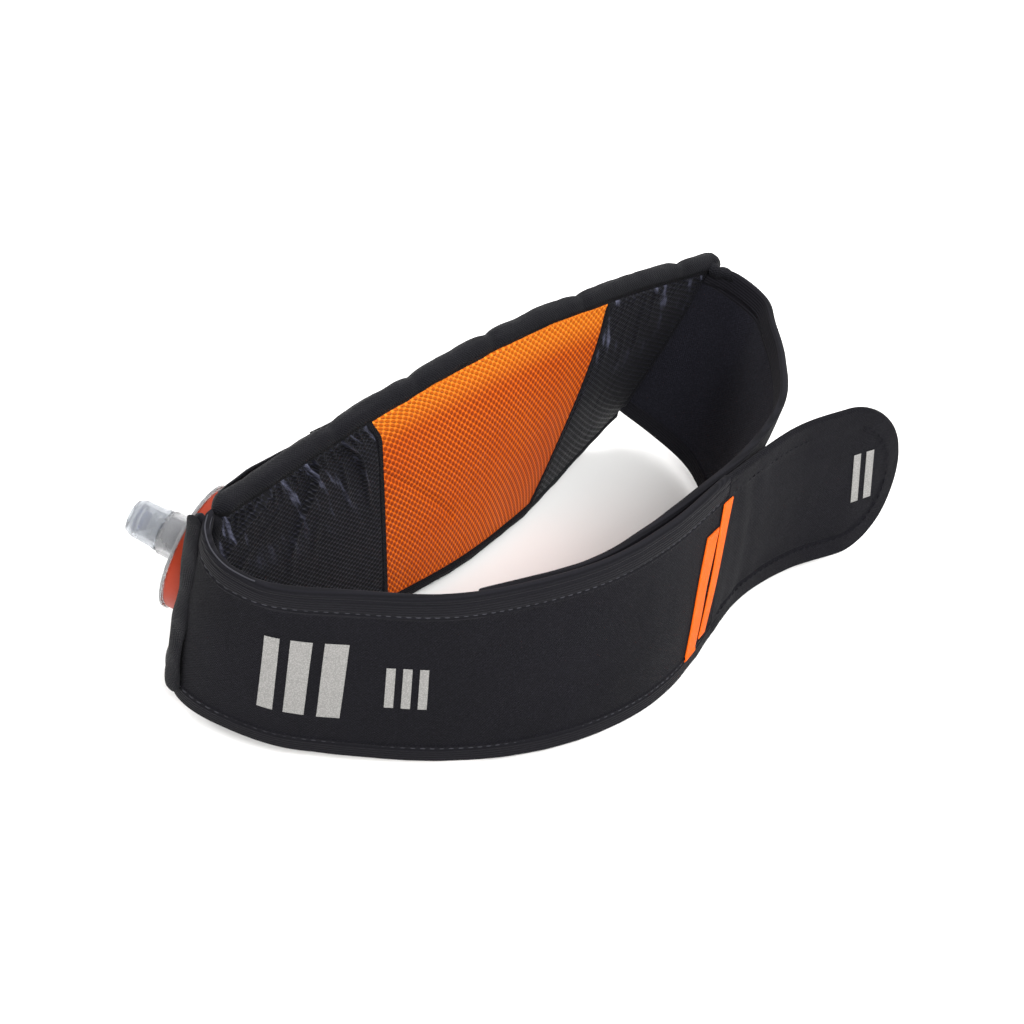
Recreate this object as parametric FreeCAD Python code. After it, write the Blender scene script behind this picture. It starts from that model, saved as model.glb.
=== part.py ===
"""Running waist pack: a bag with an air-mesh back panel, a soft flask in a sleeve and two overlapping wings.

Millimetres. +Z is up as the pack stands on its edges, +X runs along the back panel to the right wing,
and -Y is the front, where the wings overlap. The origin is the centre of the footprint.
"""
import FreeCAD, Part
import math
import os

V = FreeCAD.Vector

# ---- driving dimensions ----
CLOTH = 2.6                    # neoprene of the wings and the closure tab
HEM_EXTRA = 0.3                # a hem stands this far proud on both faces
HEM_SHARE = 0.115              # hem height as a share of the wing's height
MESH = 1.6                     # air mesh on the inner face of the back panel
FOAM = 3.0                     # foam core of the back panel
BINDING = 0.07                 # top binding height as a share of the back panel's height
FOOT_BINDING = 0.045           # the same for the bottom binding
FABRIC = 1.0                   # stretch fabric of the shell and the sleeve
SHELL_DEPTH = 26.5             # how far the shell bulges behind the foam
SLEEVE_DEPTH = 19.5            # how far the sleeve wall bulges behind the foam
MOUTH_X = -103.0               # where the flask leaves the sleeve
PATCH = (0.3, 0.9)             # loop patch, measured out from the cloth
HOOK = 1.2                     # hook patch thickness
RIBBON = 1.0                   # elastic ribbon thickness
LAYER_GAP = 0.1                # air between two layers of cloth
PRINT_DEPTH = (0.1, 0.35)      # reflective print, measured out from the cloth
ORIGIN = V(-8.370, 3.604, -0.603)  # centre of the footprint in the layout that the tables below use

# flask and its screw cap
FLASK_X = (-100.0, 80.0)
FLASK_Y, FLASK_Z = 54.3, 41.0
FLASK_THICK, FLASK_TALL = 13.6, 56.0
CAP_CENTRE = V(-138.5, 58.2, 50.0)
CAP_AXIS = V(-0.292, 0.954, 0.07).normalize()
CAP_R, CAP_BORE_R, CAP_LENGTH = 24.0, 21.6, 7.0
COLLAR_R, COLLAR_BORE_R, COLLAR_BACK = 21.2, 18.0, -9.5

# zip in the shell
ZIP_X = (-88.0, 56.0)
ZIP_Y, ZIP_Z, ZIP_TILT = 57.6, 73.5, 49.0
TAPE_WIDTH, TAPE_THICK = 5.0, 0.6
TEETH_PITCH = 3.0

# Wing walls: pairs of (foot, head) points, from the bag's end to the free end.
# The left wing is drawn on its outer face and the right wing on its inner face.
LEFT_WING = [
    ((-155.5, 38, 8), (-156, 36, 86)), ((-161.5, 31, 8), (-167.5, 26, 86)),
    ((-162.5, 14, 7), (-170, 13, 86)), ((-152, -5, 5), (-163, 0, 85)),
    ((-133, -24, 3), (-142, -17, 83)), ((-107, -46, 1), (-115, -36, 80)),
    ((-79, -62.5, 0), (-86, -48, 78)), ((-45, -74.5, 0), (-49, -59, 78)),
    ((-10, -77.5, 0), (-9, -61, 78)), ((31, -70, 0), (32, -57, 78))]
TAB = [
    ((31, -70, 0), (32, -57, 78)), ((61, -64, 0), (63, -54, 78)), ((93, -66, 0), (91, -52.5, 77)),
    ((124, -75, 0), (117, -56, 75)), ((146, -79, 0), (140, -62, 74)), ((162, -79, 0), (160, -68, 74))]
RIGHT_WING = [
    ((112, 44, 10), (137.5, 33, 84)), ((114, 27, 7), (144, 22.5, 83)), ((113, 9, 5), (143, 7, 81)),
    ((107, -6, 3.5), (133, -4, 80)), ((94, -21.5, 1.7), (116.5, -21, 79)),
    ((72.5, -38, 0.8), (90.5, -39, 79)),
    ((44, -57, 0.8), (54, -48.5, 77)), ((14.5, -67, 0.8), (14, -51.5, 75)),
    ((-16, -69, 0.8), (-16, -52.5, 74)),
    ((-46, -66, 0.8), (-50, -50, 73)), ((-87, -49.5, 1.5), (-94, -35.5, 73))]
# Back panel: its head and foot edges on the inner face, as (x, y, z)
PANEL_HEAD = [(-158, 34, 94.5), (-100, 38, 98), (-50, 39.2, 101.0), (-10, 39.7, 101.7), (27, 39.3, 100.7),
              (63, 38.2, 97), (90, 37, 93.5), (141, 34, 85)]
PANEL_FOOT = [(-154, 34, 7), (-100, 27, 2), (-28, 22.5, 1), (18, 26, 1), (45, 31, 1), (75, 37.5, 3),
              (109.5, 42, 10.5)]
LEFT_SEAM = (-61.5, -73.0)     # where the centre panel starts, at the foot and at the head
RIGHT_SEAM = (31.0, 72.0)
LEFT_HINGE = (3.84, 4.22)      # foot and head stations where the left wing folds, on an upright line
RIGHT_HINGE = (2.0, 2.0)       # the same for the right wing, on a slanted line
TAB_END = (119.5, 37.0, 34.0)  # rounded tab end: x, z and radius

os.makedirs("parts", exist_ok=True)


# ---- helpers ----
def save(name, shape):
    """Write one sub-part."""
    shape = shape.copy()
    shape.translate(-ORIGIN)
    shape.exportStep("parts/" + name + ".step")


def catmull(points, u):
    """Point at station u of a smooth curve through the points."""
    last = len(points) - 1
    i = min(int(u), last - 1)
    t = u - i
    p1, p2 = points[i], points[i + 1]
    p0 = points[i - 1] if i > 0 else p1 * 2 - p2
    p3 = points[i + 2] if i + 2 <= last else p2 * 2 - p1
    blend = p1 * 2 + (p2 - p0) * t + (p0 * 2 - p1 * 5 + p2 * 4 - p3) * t ** 2
    return (blend + (p1 * 3 - p0 - p2 * 3 + p3) * t ** 3) * 0.5


def at_x(points, x):
    """Point of a smooth curve at a given x, with the curve's x growing."""
    points = [V(*p) for p in points]
    low, high = 0.0, len(points) - 1.0
    for _ in range(40):
        mid = (low + high) / 2
        if catmull(points, mid).x < x:
            low = mid
        else:
            high = mid
    return catmull(points, low)


def slanted_wall(stations, start, end, count):
    """Resample a wall between two slanted lines, each a (foot station, head station) pair."""
    feet = [V(*foot) for foot, _ in stations]
    heads = [V(*head) for _, head in stations]
    pairs = []
    for i in range(count):
        share = i / (count - 1)
        foot_u, head_u = [start[k] + (end[k] - start[k]) * share for k in (0, 1)]
        pairs.append((catmull(feet, foot_u), catmull(heads, head_u)))
    return pairs


def wall(stations, start, end, count):
    """Resample a wall between two station numbers as a list of (foot, head)."""
    return slanted_wall(stations, (start, start), (end, end), count)


def beside(line, step):
    """A fold line moved along the wall by a small step."""
    return line[0] + step, line[1] + step


def panel_wall(foot_range, head_range, count):
    """Stations of the back panel between two slanted lines."""
    stations = []
    for i in range(count):
        share = i / (count - 1)
        foot_x = foot_range[0] + (foot_range[1] - foot_range[0]) * share
        head_x = head_range[0] + (head_range[1] - head_range[0]) * share
        stations.append((at_x(PANEL_FOOT, foot_x), at_x(PANEL_HEAD, head_x)))
    return stations


def normal_at(stations, i, outward):
    """Unit normal of a wall at one station, on the side of the outward sign."""
    before = stations[max(i - 1, 0)]
    after = stations[min(i + 1, len(stations) - 1)]
    along = (after[0] + after[1]) - (before[0] + before[1])
    up = stations[i][1] - stations[i][0]
    return along.cross(up).normalize() * outward


def strip(stations, low, high, inner, outer, outward=1):
    """Solid strip of cloth on a wall, between two shares of its height and two depths."""
    rails = [[], [], [], []]
    for i, (foot, head) in enumerate(stations):
        normal = normal_at(stations, i, outward)
        bottom = foot + (head - foot) * low
        top = foot + (head - foot) * high
        corners = [base + normal * inner for base in (bottom, top)]
        corners += [base + normal * outer for base in (top, bottom)]
        for rail, corner in zip(rails, corners):
            rail.append(corner)
    edges = []
    for rail in rails:
        curve = Part.BSplineCurve()
        curve.interpolate(rail)
        edges.append(curve.toShape())
    faces = [Part.makeRuledSurface(edges[i], edges[(i + 1) % 4]) for i in range(4)]
    for end in (0, -1):
        corners = [rail[end] for rail in rails]
        faces.append(Part.Face(Part.makePolygon(corners + corners[:1])))
    shell = Part.Shell(faces)
    shell.sewShape()
    solid = Part.Solid(shell)
    if solid.Volume < 0:
        solid.reverse()
    return solid


def spin(profile, centre, axis):
    """Solid of revolution from (radius, height) points about an axis."""
    points = [V(r, 0, h) for r, h in profile]
    face = Part.Face(Part.makePolygon(points + points[:1]))
    solid = face.revolve(V(0, 0, 0), V(0, 0, 1), 360)
    solid.Placement = FreeCAD.Placement(centre, FreeCAD.Rotation(V(0, 0, 1), axis))
    return solid


def ellipse_section(centre, tall, thick):
    """Upright ellipse across X."""
    edge = Part.Ellipse(V(0, 0, 0), tall / 2, thick / 2).toShape()
    edge.Placement = FreeCAD.Placement(centre, FreeCAD.Rotation(V(0, 0, 1), V(0, 1, 0), V(1, 0, 0), "XYZ"))
    return Part.Wire(edge)


# ---- wings ----
def make_wing(name, stations, outward, face, thick):
    """Neoprene panel with a folded hem along both edges, from depth face to face + thick."""
    save(name + "_panel", strip(stations, HEM_SHARE, 1 - HEM_SHARE, face, face + thick, outward))
    proud = (face - HEM_EXTRA, face + thick + HEM_EXTRA)
    save(name + "_bottom_hem", strip(stations, 0, HEM_SHARE, *proud, outward))
    save(name + "_top_hem", strip(stations, 1 - HEM_SHARE, 1, *proud, outward))


def make_root(name, stations, outward, face, thick):
    """The stub of a wing that stays on the bag."""
    save(name, strip(stations, 0, 1, face, face + thick, outward))


def make_bars(stations, spans, low, high, depth, outward):
    """Reflective print: slanted bars with the given spans along the wall."""
    bars = []
    for start, end, lean in spans:
        pairs = slanted_wall(stations, (start, start + lean), (end, end + lean), 3)
        bars.append(strip(pairs, low, high, depth[0], depth[1], outward))
    return Part.Compound(bars)


def make_left_wing():
    """Outer wing: stub, swinging wing, print and the two elastic ribbons at its end."""
    last = len(LEFT_WING) - 1
    hinge_gap = 0.02
    root = slanted_wall(LEFT_WING, (0.38, 0.38), beside(LEFT_HINGE, -hinge_gap), 8)
    make_root("left_wing_root", root, 1, -CLOTH, CLOTH)
    swinging = slanted_wall(LEFT_WING, beside(LEFT_HINGE, hinge_gap), (last - 0.01, last - 0.01), 12)
    make_wing("left_wing", swinging, 1, -CLOTH, CLOTH)
    large = [(2.60, 2.86, 0.30), (3.02, 3.32, 0.30), (3.50, 3.80, 0.26)]
    save("print_large", make_bars(LEFT_WING, large, 0.25, 0.70, PRINT_DEPTH, 1))
    small = [(4.34, 4.44, 0.10), (4.52, 4.62, 0.10), (4.70, 4.80, 0.10)]
    save("print_small", make_bars(LEFT_WING, small, 0.34, 0.58, PRINT_DEPTH, 1))
    ribbons = {"ribbon_left": ((8.36, 8.56), (8.52, 8.72)), "ribbon_right": ((8.66, 8.84), (8.82, 8.97))}
    for name, (near_edge, far_edge) in ribbons.items():
        pairs = slanted_wall(LEFT_WING, near_edge, far_edge, 3)
        save(name, strip(pairs, 0.12, 0.88, HEM_EXTRA + LAYER_GAP, HEM_EXTRA + RIBBON, 1))


def make_right_wing():
    """Inner wing: stub, swinging wing and the loop patch on its outer face."""
    last = len(RIGHT_WING) - 1
    hinge_gap = 0.016
    root = slanted_wall(RIGHT_WING, (0.12, 0.12), beside(RIGHT_HINGE, -hinge_gap), 5)
    make_root("right_wing_root", root, -1, 0, CLOTH)
    swinging = slanted_wall(RIGHT_WING, beside(RIGHT_HINGE, hinge_gap), (last, last), 14)
    make_wing("right_wing", swinging, -1, 0, CLOTH)
    patch = wall(RIGHT_WING, 6.4, last - 0.1, 8)
    save("right_loop_patch", strip(patch, 0.16, 0.84, CLOTH + PATCH[0], CLOTH + PATCH[1], -1))


# ---- closure tab ----
def tab_outline(inset):
    """Prism through the wall with the tab's rounded outline, drawn in a little by inset."""
    end_x, end_z, radius = TAB_END
    radius = radius - inset
    start_x = 0.0
    top = V(end_x, -120, end_z + radius)
    tip = V(end_x + radius, -120, end_z)
    bottom = V(end_x, -120, end_z - radius)
    start_top = V(start_x, -120, 79.5 - inset)
    start_bottom = V(start_x, -120, inset + 2.0)
    edges = [Part.makeLine(start_top, top), Part.Arc(top, tip, bottom).toShape(),
             Part.makeLine(bottom, start_bottom), Part.makeLine(start_bottom, start_top)]
    return Part.Face(Part.Wire(edges)).extrude(V(0, 120, 0))


def make_tab():
    """Closure tab: core panel, stepped border, print and the hook patch on its inner face."""
    last = len(TAB) - 1
    stations = wall(TAB, 0.03, last, 9)
    core_outline, edge_outline = tab_outline(8.5), tab_outline(0)
    core = strip(stations, 0, 1, -CLOTH, 0, 1).common(core_outline)
    border = strip(stations, 0, 1, -CLOTH - HEM_EXTRA, HEM_EXTRA, 1).common(edge_outline).cut(core_outline)
    save("tab_panel", core)
    save("tab_border", border)
    hook = strip(wall(TAB, 1.0, last, 7), 0, 1, -CLOTH - HOOK, -CLOTH - LAYER_GAP, 1)
    save("tab_hook_patch", hook.common(tab_outline(13)))
    bars = [(3.05, 3.22, 0.22), (3.36, 3.56, 0.22)]
    save("tab_print", make_bars(TAB, bars, 0.36, 0.66, PRINT_DEPTH, 1))


# ---- bag ----
def make_back_panel():
    """Foam core, orange centre mesh, two side meshes, seam tapes and edge bindings."""
    foot, head = (PANEL_FOOT[0][0], PANEL_FOOT[-1][0]), (PANEL_HEAD[0][0], PANEL_HEAD[-1][0])
    whole = panel_wall(foot, head, 14)
    save("back_foam", strip(whole, FOOT_BINDING, 1 - BINDING, MESH + 0.15, MESH + FOAM, -1))
    seam, cut = 1.2, 1.7
    low, high = FOOT_BINDING + 0.006, 1 - BINDING - 0.004
    middle = (LEFT_SEAM[0] + cut, RIGHT_SEAM[0] - cut), (LEFT_SEAM[1] + cut, RIGHT_SEAM[1] - cut)
    parts = {
        "side_mesh_left": ((foot[0], LEFT_SEAM[0] - cut), (head[0], LEFT_SEAM[1] - cut)),
        "center_mesh": middle,
        "side_mesh_right": ((RIGHT_SEAM[0] + cut, foot[1]), (RIGHT_SEAM[1] + cut, head[1]))}
    for name, (feet, heads) in parts.items():
        save(name, strip(panel_wall(feet, heads, 8), low, high, 0, MESH, -1))
    tapes = []
    for foot_x, head_x in (LEFT_SEAM, RIGHT_SEAM):
        line = panel_wall((foot_x - seam, foot_x + seam), (head_x - seam, head_x + seam), 2)
        tapes.append(strip(line, low, high, -0.4, MESH - 0.1, -1))
    save("seam_tapes", Part.Compound(tapes))
    save("top_binding", strip(whole, 1 - BINDING, 1, -1.2, MESH + FOAM + 1.6, -1))
    save("bottom_binding", strip(whole, 0, FOOT_BINDING, -0.8, MESH + FOAM + 0.8, -1))


def shell_section(foot_x, head_x, depth, low_share, high_share, thick):
    """Curved fabric strip across the bag: a share of the way from the head round to the foot."""
    taper = max(0.0, min(1.0, (head_x - 66.0) / 68.0))
    head_y = 46.2 - 3.8 * taper
    head_z = 89.5 - 13.0 * taper
    foot = at_x(PANEL_FOOT, foot_x)
    foot_y = foot.y + MESH + FOAM + 1.4 - 1.0 * taper
    foot_z = foot.z + 1.2
    depth = depth * (1 - taper ** 1.5) + 2.5 * taper
    rise = head_z - foot_z
    shape = [(0, 1.0), (0.36, 0.85), (0.72, 0.70), (0.95, 0.52), (1.0, 0.34), (0.86, 0.13), (0.55, 0.0)]
    points = [V(0, head_y + depth * d, foot_z + rise * z) for d, z in shape]
    points.append(V(0, foot_y, foot_z))
    last = len(points) - 1
    count = 13
    steps = [last * (low_share + (high_share - low_share) * i / (count - 1)) for i in range(count)]
    outer = [catmull(points, u) for u in steps]
    inner = []
    for u, point in zip(steps, outer):
        tangent = (catmull(points, min(u + 0.05, last)) - catmull(points, max(u - 0.05, 0))).normalize()
        inner.append(point + V(0, tangent.z, -tangent.y) * thick)
    for point in outer + inner:
        point.x = foot_x + (head_x - foot_x) * (point.z - foot_z) / rise
    curves = []
    for row in (outer, inner[::-1]):
        curve = Part.BSplineCurve()
        curve.interpolate(row)
        curves.append(curve.toShape())
    ends = [Part.makeLine(outer[-1], inner[-1]), Part.makeLine(inner[0], outer[0])]
    return Part.Wire([curves[0], ends[0], curves[1], ends[1]])


def shell_strip(foot_range, head_range, count, depth, low, high, thick):
    """Loft of curved sections from one slanted line across the bag to another."""
    sections = []
    for i in range(count):
        share = i / (count - 1)
        foot_x = foot_range[0] + (foot_range[1] - foot_range[0]) * share
        head_x = head_range[0] + (head_range[1] - head_range[0]) * share
        sections.append(shell_section(foot_x, head_x, depth, low, high, thick))
    return Part.makeLoft(sections, True, False)


def zip_frame(point):
    """Place a flat piece on the zip line: its X along the zip and its Z out of the cloth."""
    return FreeCAD.Placement(point, FreeCAD.Rotation(V(1, 0, 0), -ZIP_TILT))


def make_bag():
    """Outer shell, sleeve wall, mouth binding, hood over the flask cap and the end gusset."""
    shell = shell_strip((MOUTH_X, 107), (MOUTH_X, 134), 12, SHELL_DEPTH, 0, 1, FABRIC)
    slot = Part.makeBox(ZIP_X[1] - ZIP_X[0], 6.4, 12, V(ZIP_X[0], -3.2, -6))
    slot.Placement = zip_frame(V(0, ZIP_Y, ZIP_Z))
    save("outer_shell", shell.cut(slot))
    save("sleeve_wall", shell_strip((MOUTH_X, 84), (MOUTH_X, 98), 10, SLEEVE_DEPTH, 0.2, 0.77, FABRIC))
    mouth = (MOUTH_X - 2.4, MOUTH_X)
    save("sleeve_mouth_binding", shell_strip(mouth, mouth, 3, SHELL_DEPTH + 0.6, 0.0, 1.0, FABRIC + 1.2))
    hood = (-148.0, MOUTH_X - 2.5)
    save("sleeve_hood", shell_strip(hood, hood, 4, SHELL_DEPTH - 4, 0.0, 0.14, FABRIC))
    save("end_gusset", Part.makeBox(4.0, 6.5, 18.0, V(-159.5, 40.5, 5.5)))


def make_zip():
    """Two tapes with teeth, end stops, and the slider with its pull."""
    length = ZIP_X[1] - ZIP_X[0]
    place = zip_frame(V(0, ZIP_Y, ZIP_Z))
    for name, side in (("upper", 1), ("lower", -1)):
        low = 0.5 if side > 0 else -0.5 - TAPE_WIDTH
        tape = Part.makeBox(length, TAPE_WIDTH, TAPE_THICK, V(ZIP_X[0], low, -1.6))
        tape.Placement = place
        save("zip_tape_" + name, tape)
        teeth = []
        for i in range(int((length - 8) / TEETH_PITCH)):
            x = ZIP_X[0] + 4 + TEETH_PITCH * (i + (0.5 if side > 0 else 0))
            tooth = Part.makeBox(1.2, 2.2, 0.8, V(x, -0.9 if side > 0 else -1.3, -1.0))
            tooth.Placement = place
            teeth.append(tooth)
        save("zip_teeth_" + name, Part.Compound(teeth))
    stops = []
    for x in (ZIP_X[0] + 0.5, ZIP_X[1] - 3.0):
        stop = Part.makeBox(2.5, 4.0, 1.4, V(x, -2.0, -1.0))
        stop.Placement = place
        stops.append(stop)
    save("zip_stops", Part.Compound(stops))
    make_slider(place)


def make_slider(place):
    """Slider body over the teeth and a moulded pull tab on its bridge pin."""
    x = ZIP_X[0] + 5.0
    plate = Part.makeBox(8.0, 5.0, 1.1, V(x, -2.5, 0.2))
    lug_shape = []
    for side in (-1, 1):
        lug = Part.makeBox(2.6, 0.7, 2.4, V(x + 2.7, side * 1.5 - 0.35, 1.3))
        lug_shape.append(lug)
    pin = Part.makeCylinder(0.45, 3.6, V(x + 4.0, -1.8, 2.7), V(0, 1, 0))
    slider = plate.fuse(lug_shape + [pin]).removeSplitter()
    slider.Placement = place
    save("zip_slider", slider)
    eye = Part.makeCylinder(1.0, 1.8, V(x + 4.0, -0.9, 2.7), V(0, 1, 0))
    neck = Part.makeBox(4.0, 1.8, 0.9, V(x + 4.4, -0.9, 2.25))
    grip = Part.makeBox(16.0, 5.0, 1.6, V(x + 8.0, -2.5, 1.9))
    pull = eye.fuse([neck, grip]).removeSplitter()
    pull = pull.cut(Part.makeCylinder(0.52, 4.0, V(x + 4.0, -2.0, 2.7), V(0, 1, 0)))
    pull.Placement = place
    save("zip_pull", pull)


# ---- flask ----
def make_flask():
    """Filled soft pouch, threaded collar, screw cap with gasket and the push-pull valve."""
    sections = [
        (FLASK_X[1], FLASK_Y, FLASK_Z, 44, 3.2), (FLASK_X[1] - 14, FLASK_Y, FLASK_Z, 54, 10.5),
        (20, FLASK_Y, FLASK_Z, FLASK_TALL, FLASK_THICK), (-60, FLASK_Y, FLASK_Z, FLASK_TALL, FLASK_THICK),
        (-90, 54.3, 42, 55, 11.0), (-104, 54.3, 43.5, 53, 5.6), (-114, 53.4, 45.5, 51, 3.6),
        (-126, 50.2, 47.5, 47, 2.9), (-140, 45.9, 49, 41, 2.7), (-153, 42.2, 50, 24, 2.4)]
    wires = [ellipse_section(V(x, y, z), tall, thick) for x, y, z, tall, thick in sections]
    back = CAP_CENTRE + CAP_AXIS * COLLAR_BACK
    seat = Part.makeCylinder(COLLAR_R + 0.1, 30, back, CAP_AXIS)
    pouch = Part.makeLoft(wires, True, True).cut(seat)
    save("flask_pouch", max(pouch.Solids, key=lambda solid: solid.Volume))
    spins = {
        "flask_collar": [(COLLAR_BORE_R, COLLAR_BACK), (COLLAR_R, COLLAR_BACK), (COLLAR_R, -1.5),
                         (COLLAR_BORE_R, -1.5)],
        "cap_gasket": [(COLLAR_BORE_R, -1.4), (COLLAR_R, -1.4), (COLLAR_R, -0.1), (COLLAR_BORE_R, -0.1)],
        "cap_ring": [(CAP_BORE_R, -CAP_LENGTH), (CAP_R - 0.4, -CAP_LENGTH), (CAP_R, -CAP_LENGTH + 1.0),
                     (CAP_R, -0.8), (CAP_R - 0.6, 0), (CAP_BORE_R, 0)],
        "cap_flange": [(3.0, 0), (CAP_R + 0.7, 0), (CAP_R + 0.7, 0.9), (CAP_R - 0.5, 1.4), (3.0, 1.4)],
        "valve_base": [(6.6, 1.4), (8.6, 1.4), (8.6, 12.0), (7.6, 13.0), (5.6, 13.0), (5.6, 18.4),
                       (4.5, 18.4), (4.5, 12.2), (6.6, 12.2)],
        "valve_seat": [(2.6, 6.6), (6.2, 6.6), (6.2, 12.1), (2.6, 12.1)],
        "valve_core": [(0, 6.8), (2.4, 6.8), (2.4, 12.3), (4.0, 13.0), (4.0, 14.0), (1.8, 15.8), (1.8, 18.4),
                       (3.8, 21.0), (3.8, 22.4), (0, 22.4)],
        "valve_mouthpiece": [(5.68, 13.4), (8.0, 13.4), (8.0, 14.6), (7.6, 15.6), (7.3, 24.0), (6.2, 26.4),
                             (2.4, 26.8), (2.4, 25.4), (5.2, 25.0), (5.68, 24.0)],
        "valve_tip_ring": [(4.6, 22.9), (5.6, 22.9), (5.6, 23.9), (4.6, 23.9)]}
    for name, profile in spins.items():
        save(name, spin(profile, CAP_CENTRE, CAP_AXIS))


make_left_wing()
make_right_wing()
make_tab()
make_back_panel()
make_bag()
make_zip()
make_flask()
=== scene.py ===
"""Running waist pack: cloth, mesh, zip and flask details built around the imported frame. Metres, +Z up."""
import math
import random
from bisect import bisect_left, bisect_right

import bmesh
import bpy
from mathutils import Matrix, Vector, noise


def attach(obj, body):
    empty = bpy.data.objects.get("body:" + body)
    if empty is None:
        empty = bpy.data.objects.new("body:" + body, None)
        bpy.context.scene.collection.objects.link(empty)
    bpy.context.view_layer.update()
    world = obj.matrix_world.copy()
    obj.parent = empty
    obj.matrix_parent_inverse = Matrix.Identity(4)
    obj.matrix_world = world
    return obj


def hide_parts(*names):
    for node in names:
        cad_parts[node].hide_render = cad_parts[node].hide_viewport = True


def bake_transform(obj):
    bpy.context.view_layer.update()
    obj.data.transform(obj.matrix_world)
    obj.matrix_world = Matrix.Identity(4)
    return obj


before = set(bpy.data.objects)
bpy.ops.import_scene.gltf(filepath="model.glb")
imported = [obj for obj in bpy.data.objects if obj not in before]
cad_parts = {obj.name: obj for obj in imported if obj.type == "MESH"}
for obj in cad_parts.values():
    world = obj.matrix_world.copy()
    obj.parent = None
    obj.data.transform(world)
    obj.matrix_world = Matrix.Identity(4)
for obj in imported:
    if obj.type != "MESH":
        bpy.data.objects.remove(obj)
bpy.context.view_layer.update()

MM = 0.001                               # one millimetre in metres
SHIFT = Vector((8.370, -3.604, 0.603))   # from the layout of the tables below to the frame, mm
random.seed(7)

# Cloth walls as (foot, head) pairs in mm, from the bag's end to the free end.
LEFT_WING = [
    ((-160, 40, 9), (-159.5, 37.5, 93)), ((-164.5, 36, 8), (-166.5, 32, 91)),
    ((-166, 27, 8), (-170.5, 23.5, 88.5)), ((-162.5, 14, 7), (-170, 13, 86.5)),
    ((-152, -5, 5), (-163, 0, 85)), ((-133, -24, 3), (-142, -17, 83)), ((-107, -46, 1), (-115, -36, 80)),
    ((-79, -62.5, 0), (-86, -48, 78)), ((-45, -74.5, 0), (-49, -59, 78)),
    ((-10, -77.5, 0), (-9, -61, 78)), ((31, -70, 0), (32, -57, 78))]
TAB = [
    ((31, -70, 0), (32, -57, 78)), ((61, -64, 0), (63, -54, 78)), ((93, -66, 0), (91, -52.5, 77)),
    ((124, -75, 0), (117, -56, 75)), ((146, -79, 0), (140, -62, 74)), ((162, -79, 0), (160, -68, 74))]
RIGHT_WING = [
    ((112, 44, 10), (137.5, 33, 84)), ((114, 27, 7), (144, 22.5, 83)),
    ((113, 9, 5), (143, 7, 81)), ((107, -6, 3.5), (133, -4, 80)),
    ((94, -21.5, 1.7), (116.5, -21, 79)), ((72.5, -38, 0.8), (90.5, -39, 79)),
    ((44, -57, 0.8), (54, -48.5, 77)), ((14.5, -67, 0.8), (14, -51.5, 75)),
    ((-16, -69, 0.8), (-16, -52.5, 74)), ((-46, -66, 0.8), (-50, -50, 73)),
    ((-87, -49.5, 1.5), (-94, -35.5, 73))]
PANEL_HEAD = [(-158, 34, 94.5), (-100, 38, 98), (-50, 39.2, 101.0), (-10, 39.7, 101.7), (27, 39.3, 100.7),
              (63, 38.2, 97), (90, 37, 93.5), (141, 34, 85)]
PANEL_FOOT = [(-154, 34, 7), (-100, 27, 2), (-28, 22.5, 1), (18, 26, 1), (45, 31, 1), (75, 37.5, 3),
              (109.5, 42, 10.5)]
CLOTH = 2.6               # neoprene thickness, mm
WING_HIGH = 79.5          # height of the wings' cloth, mm
MOUTH_X = -103.0          # open end of the zip bag, layout x
ZIP_Z, ZIP_ENDS = 73.5, (-88.0, 56.0)
CAP_CENTRE = Vector((-138.5, 58.2, 50.0)) + SHIFT
CAP_AXIS = Vector((-0.292, 0.954, 0.07)).normalized()


# ---- curves and walls ----
def catmull(points, u):
    """Point at station u of a smooth curve."""
    last = len(points) - 1
    i = min(max(int(u), 0), last - 1)
    t = u - i
    p1, p2 = points[i], points[i + 1]
    p0 = points[i - 1] if i > 0 else 2 * p1 - p2
    p3 = points[i + 2] if i + 2 <= last else 2 * p2 - p1
    return 0.5 * (2 * p1 + (p2 - p0) * t + (2 * p0 - 5 * p1 + 4 * p2 - p3) * t * t
                  + (3 * p1 - p0 - 3 * p2 + p3) * t ** 3)


def mix(a, b, t):
    """a for t = 0, b for t = 1 and evenly between."""
    return a + (b - a) * t


def clip(x):
    """x kept between 0 and 1."""
    return max(0.0, min(1.0, x))


def smooth(low, high, x):
    """0 below low, 1 above high, smooth between; low may be the larger."""
    t = clip((x - low) / (high - low))
    return t * t * (3 - 2 * t)


def arch(share):
    """0 at shares 0 and 1, 1 halfway."""
    return math.sin(math.pi * clip(share))


def bump(x, centre, width):
    """1 at the centre, fading to both sides over about a width."""
    return math.exp(-((x - centre) / width) ** 2)


def wobble(x, y, z=0.0):
    return noise.noise(Vector((x, y, z)))


def steps(count, start=0.0, end=1.0, ease=0.0):
    """Even steps; a share of ease at both ends gets closer ones for their rounding."""
    even = [mix(start, end, i / count) for i in range(count + 1)]
    if not ease:
        return even
    close = [ease * share for share in (0, 0.06, 0.2, 0.45, 0.75)]
    keep = [x for x in even if mix(start, end, ease) < x < mix(end, start, ease)]
    return [mix(start, end, c) for c in close] + keep + [mix(end, start, c) for c in close[::-1]]


def last_below(low, high, is_below, rounds):
    """Value between low and high where is_below(value) stops holding."""
    for _ in range(rounds):
        middle = (low + high) / 2
        if is_below(middle):
            low = middle
        else:
            high = middle
    return low


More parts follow.
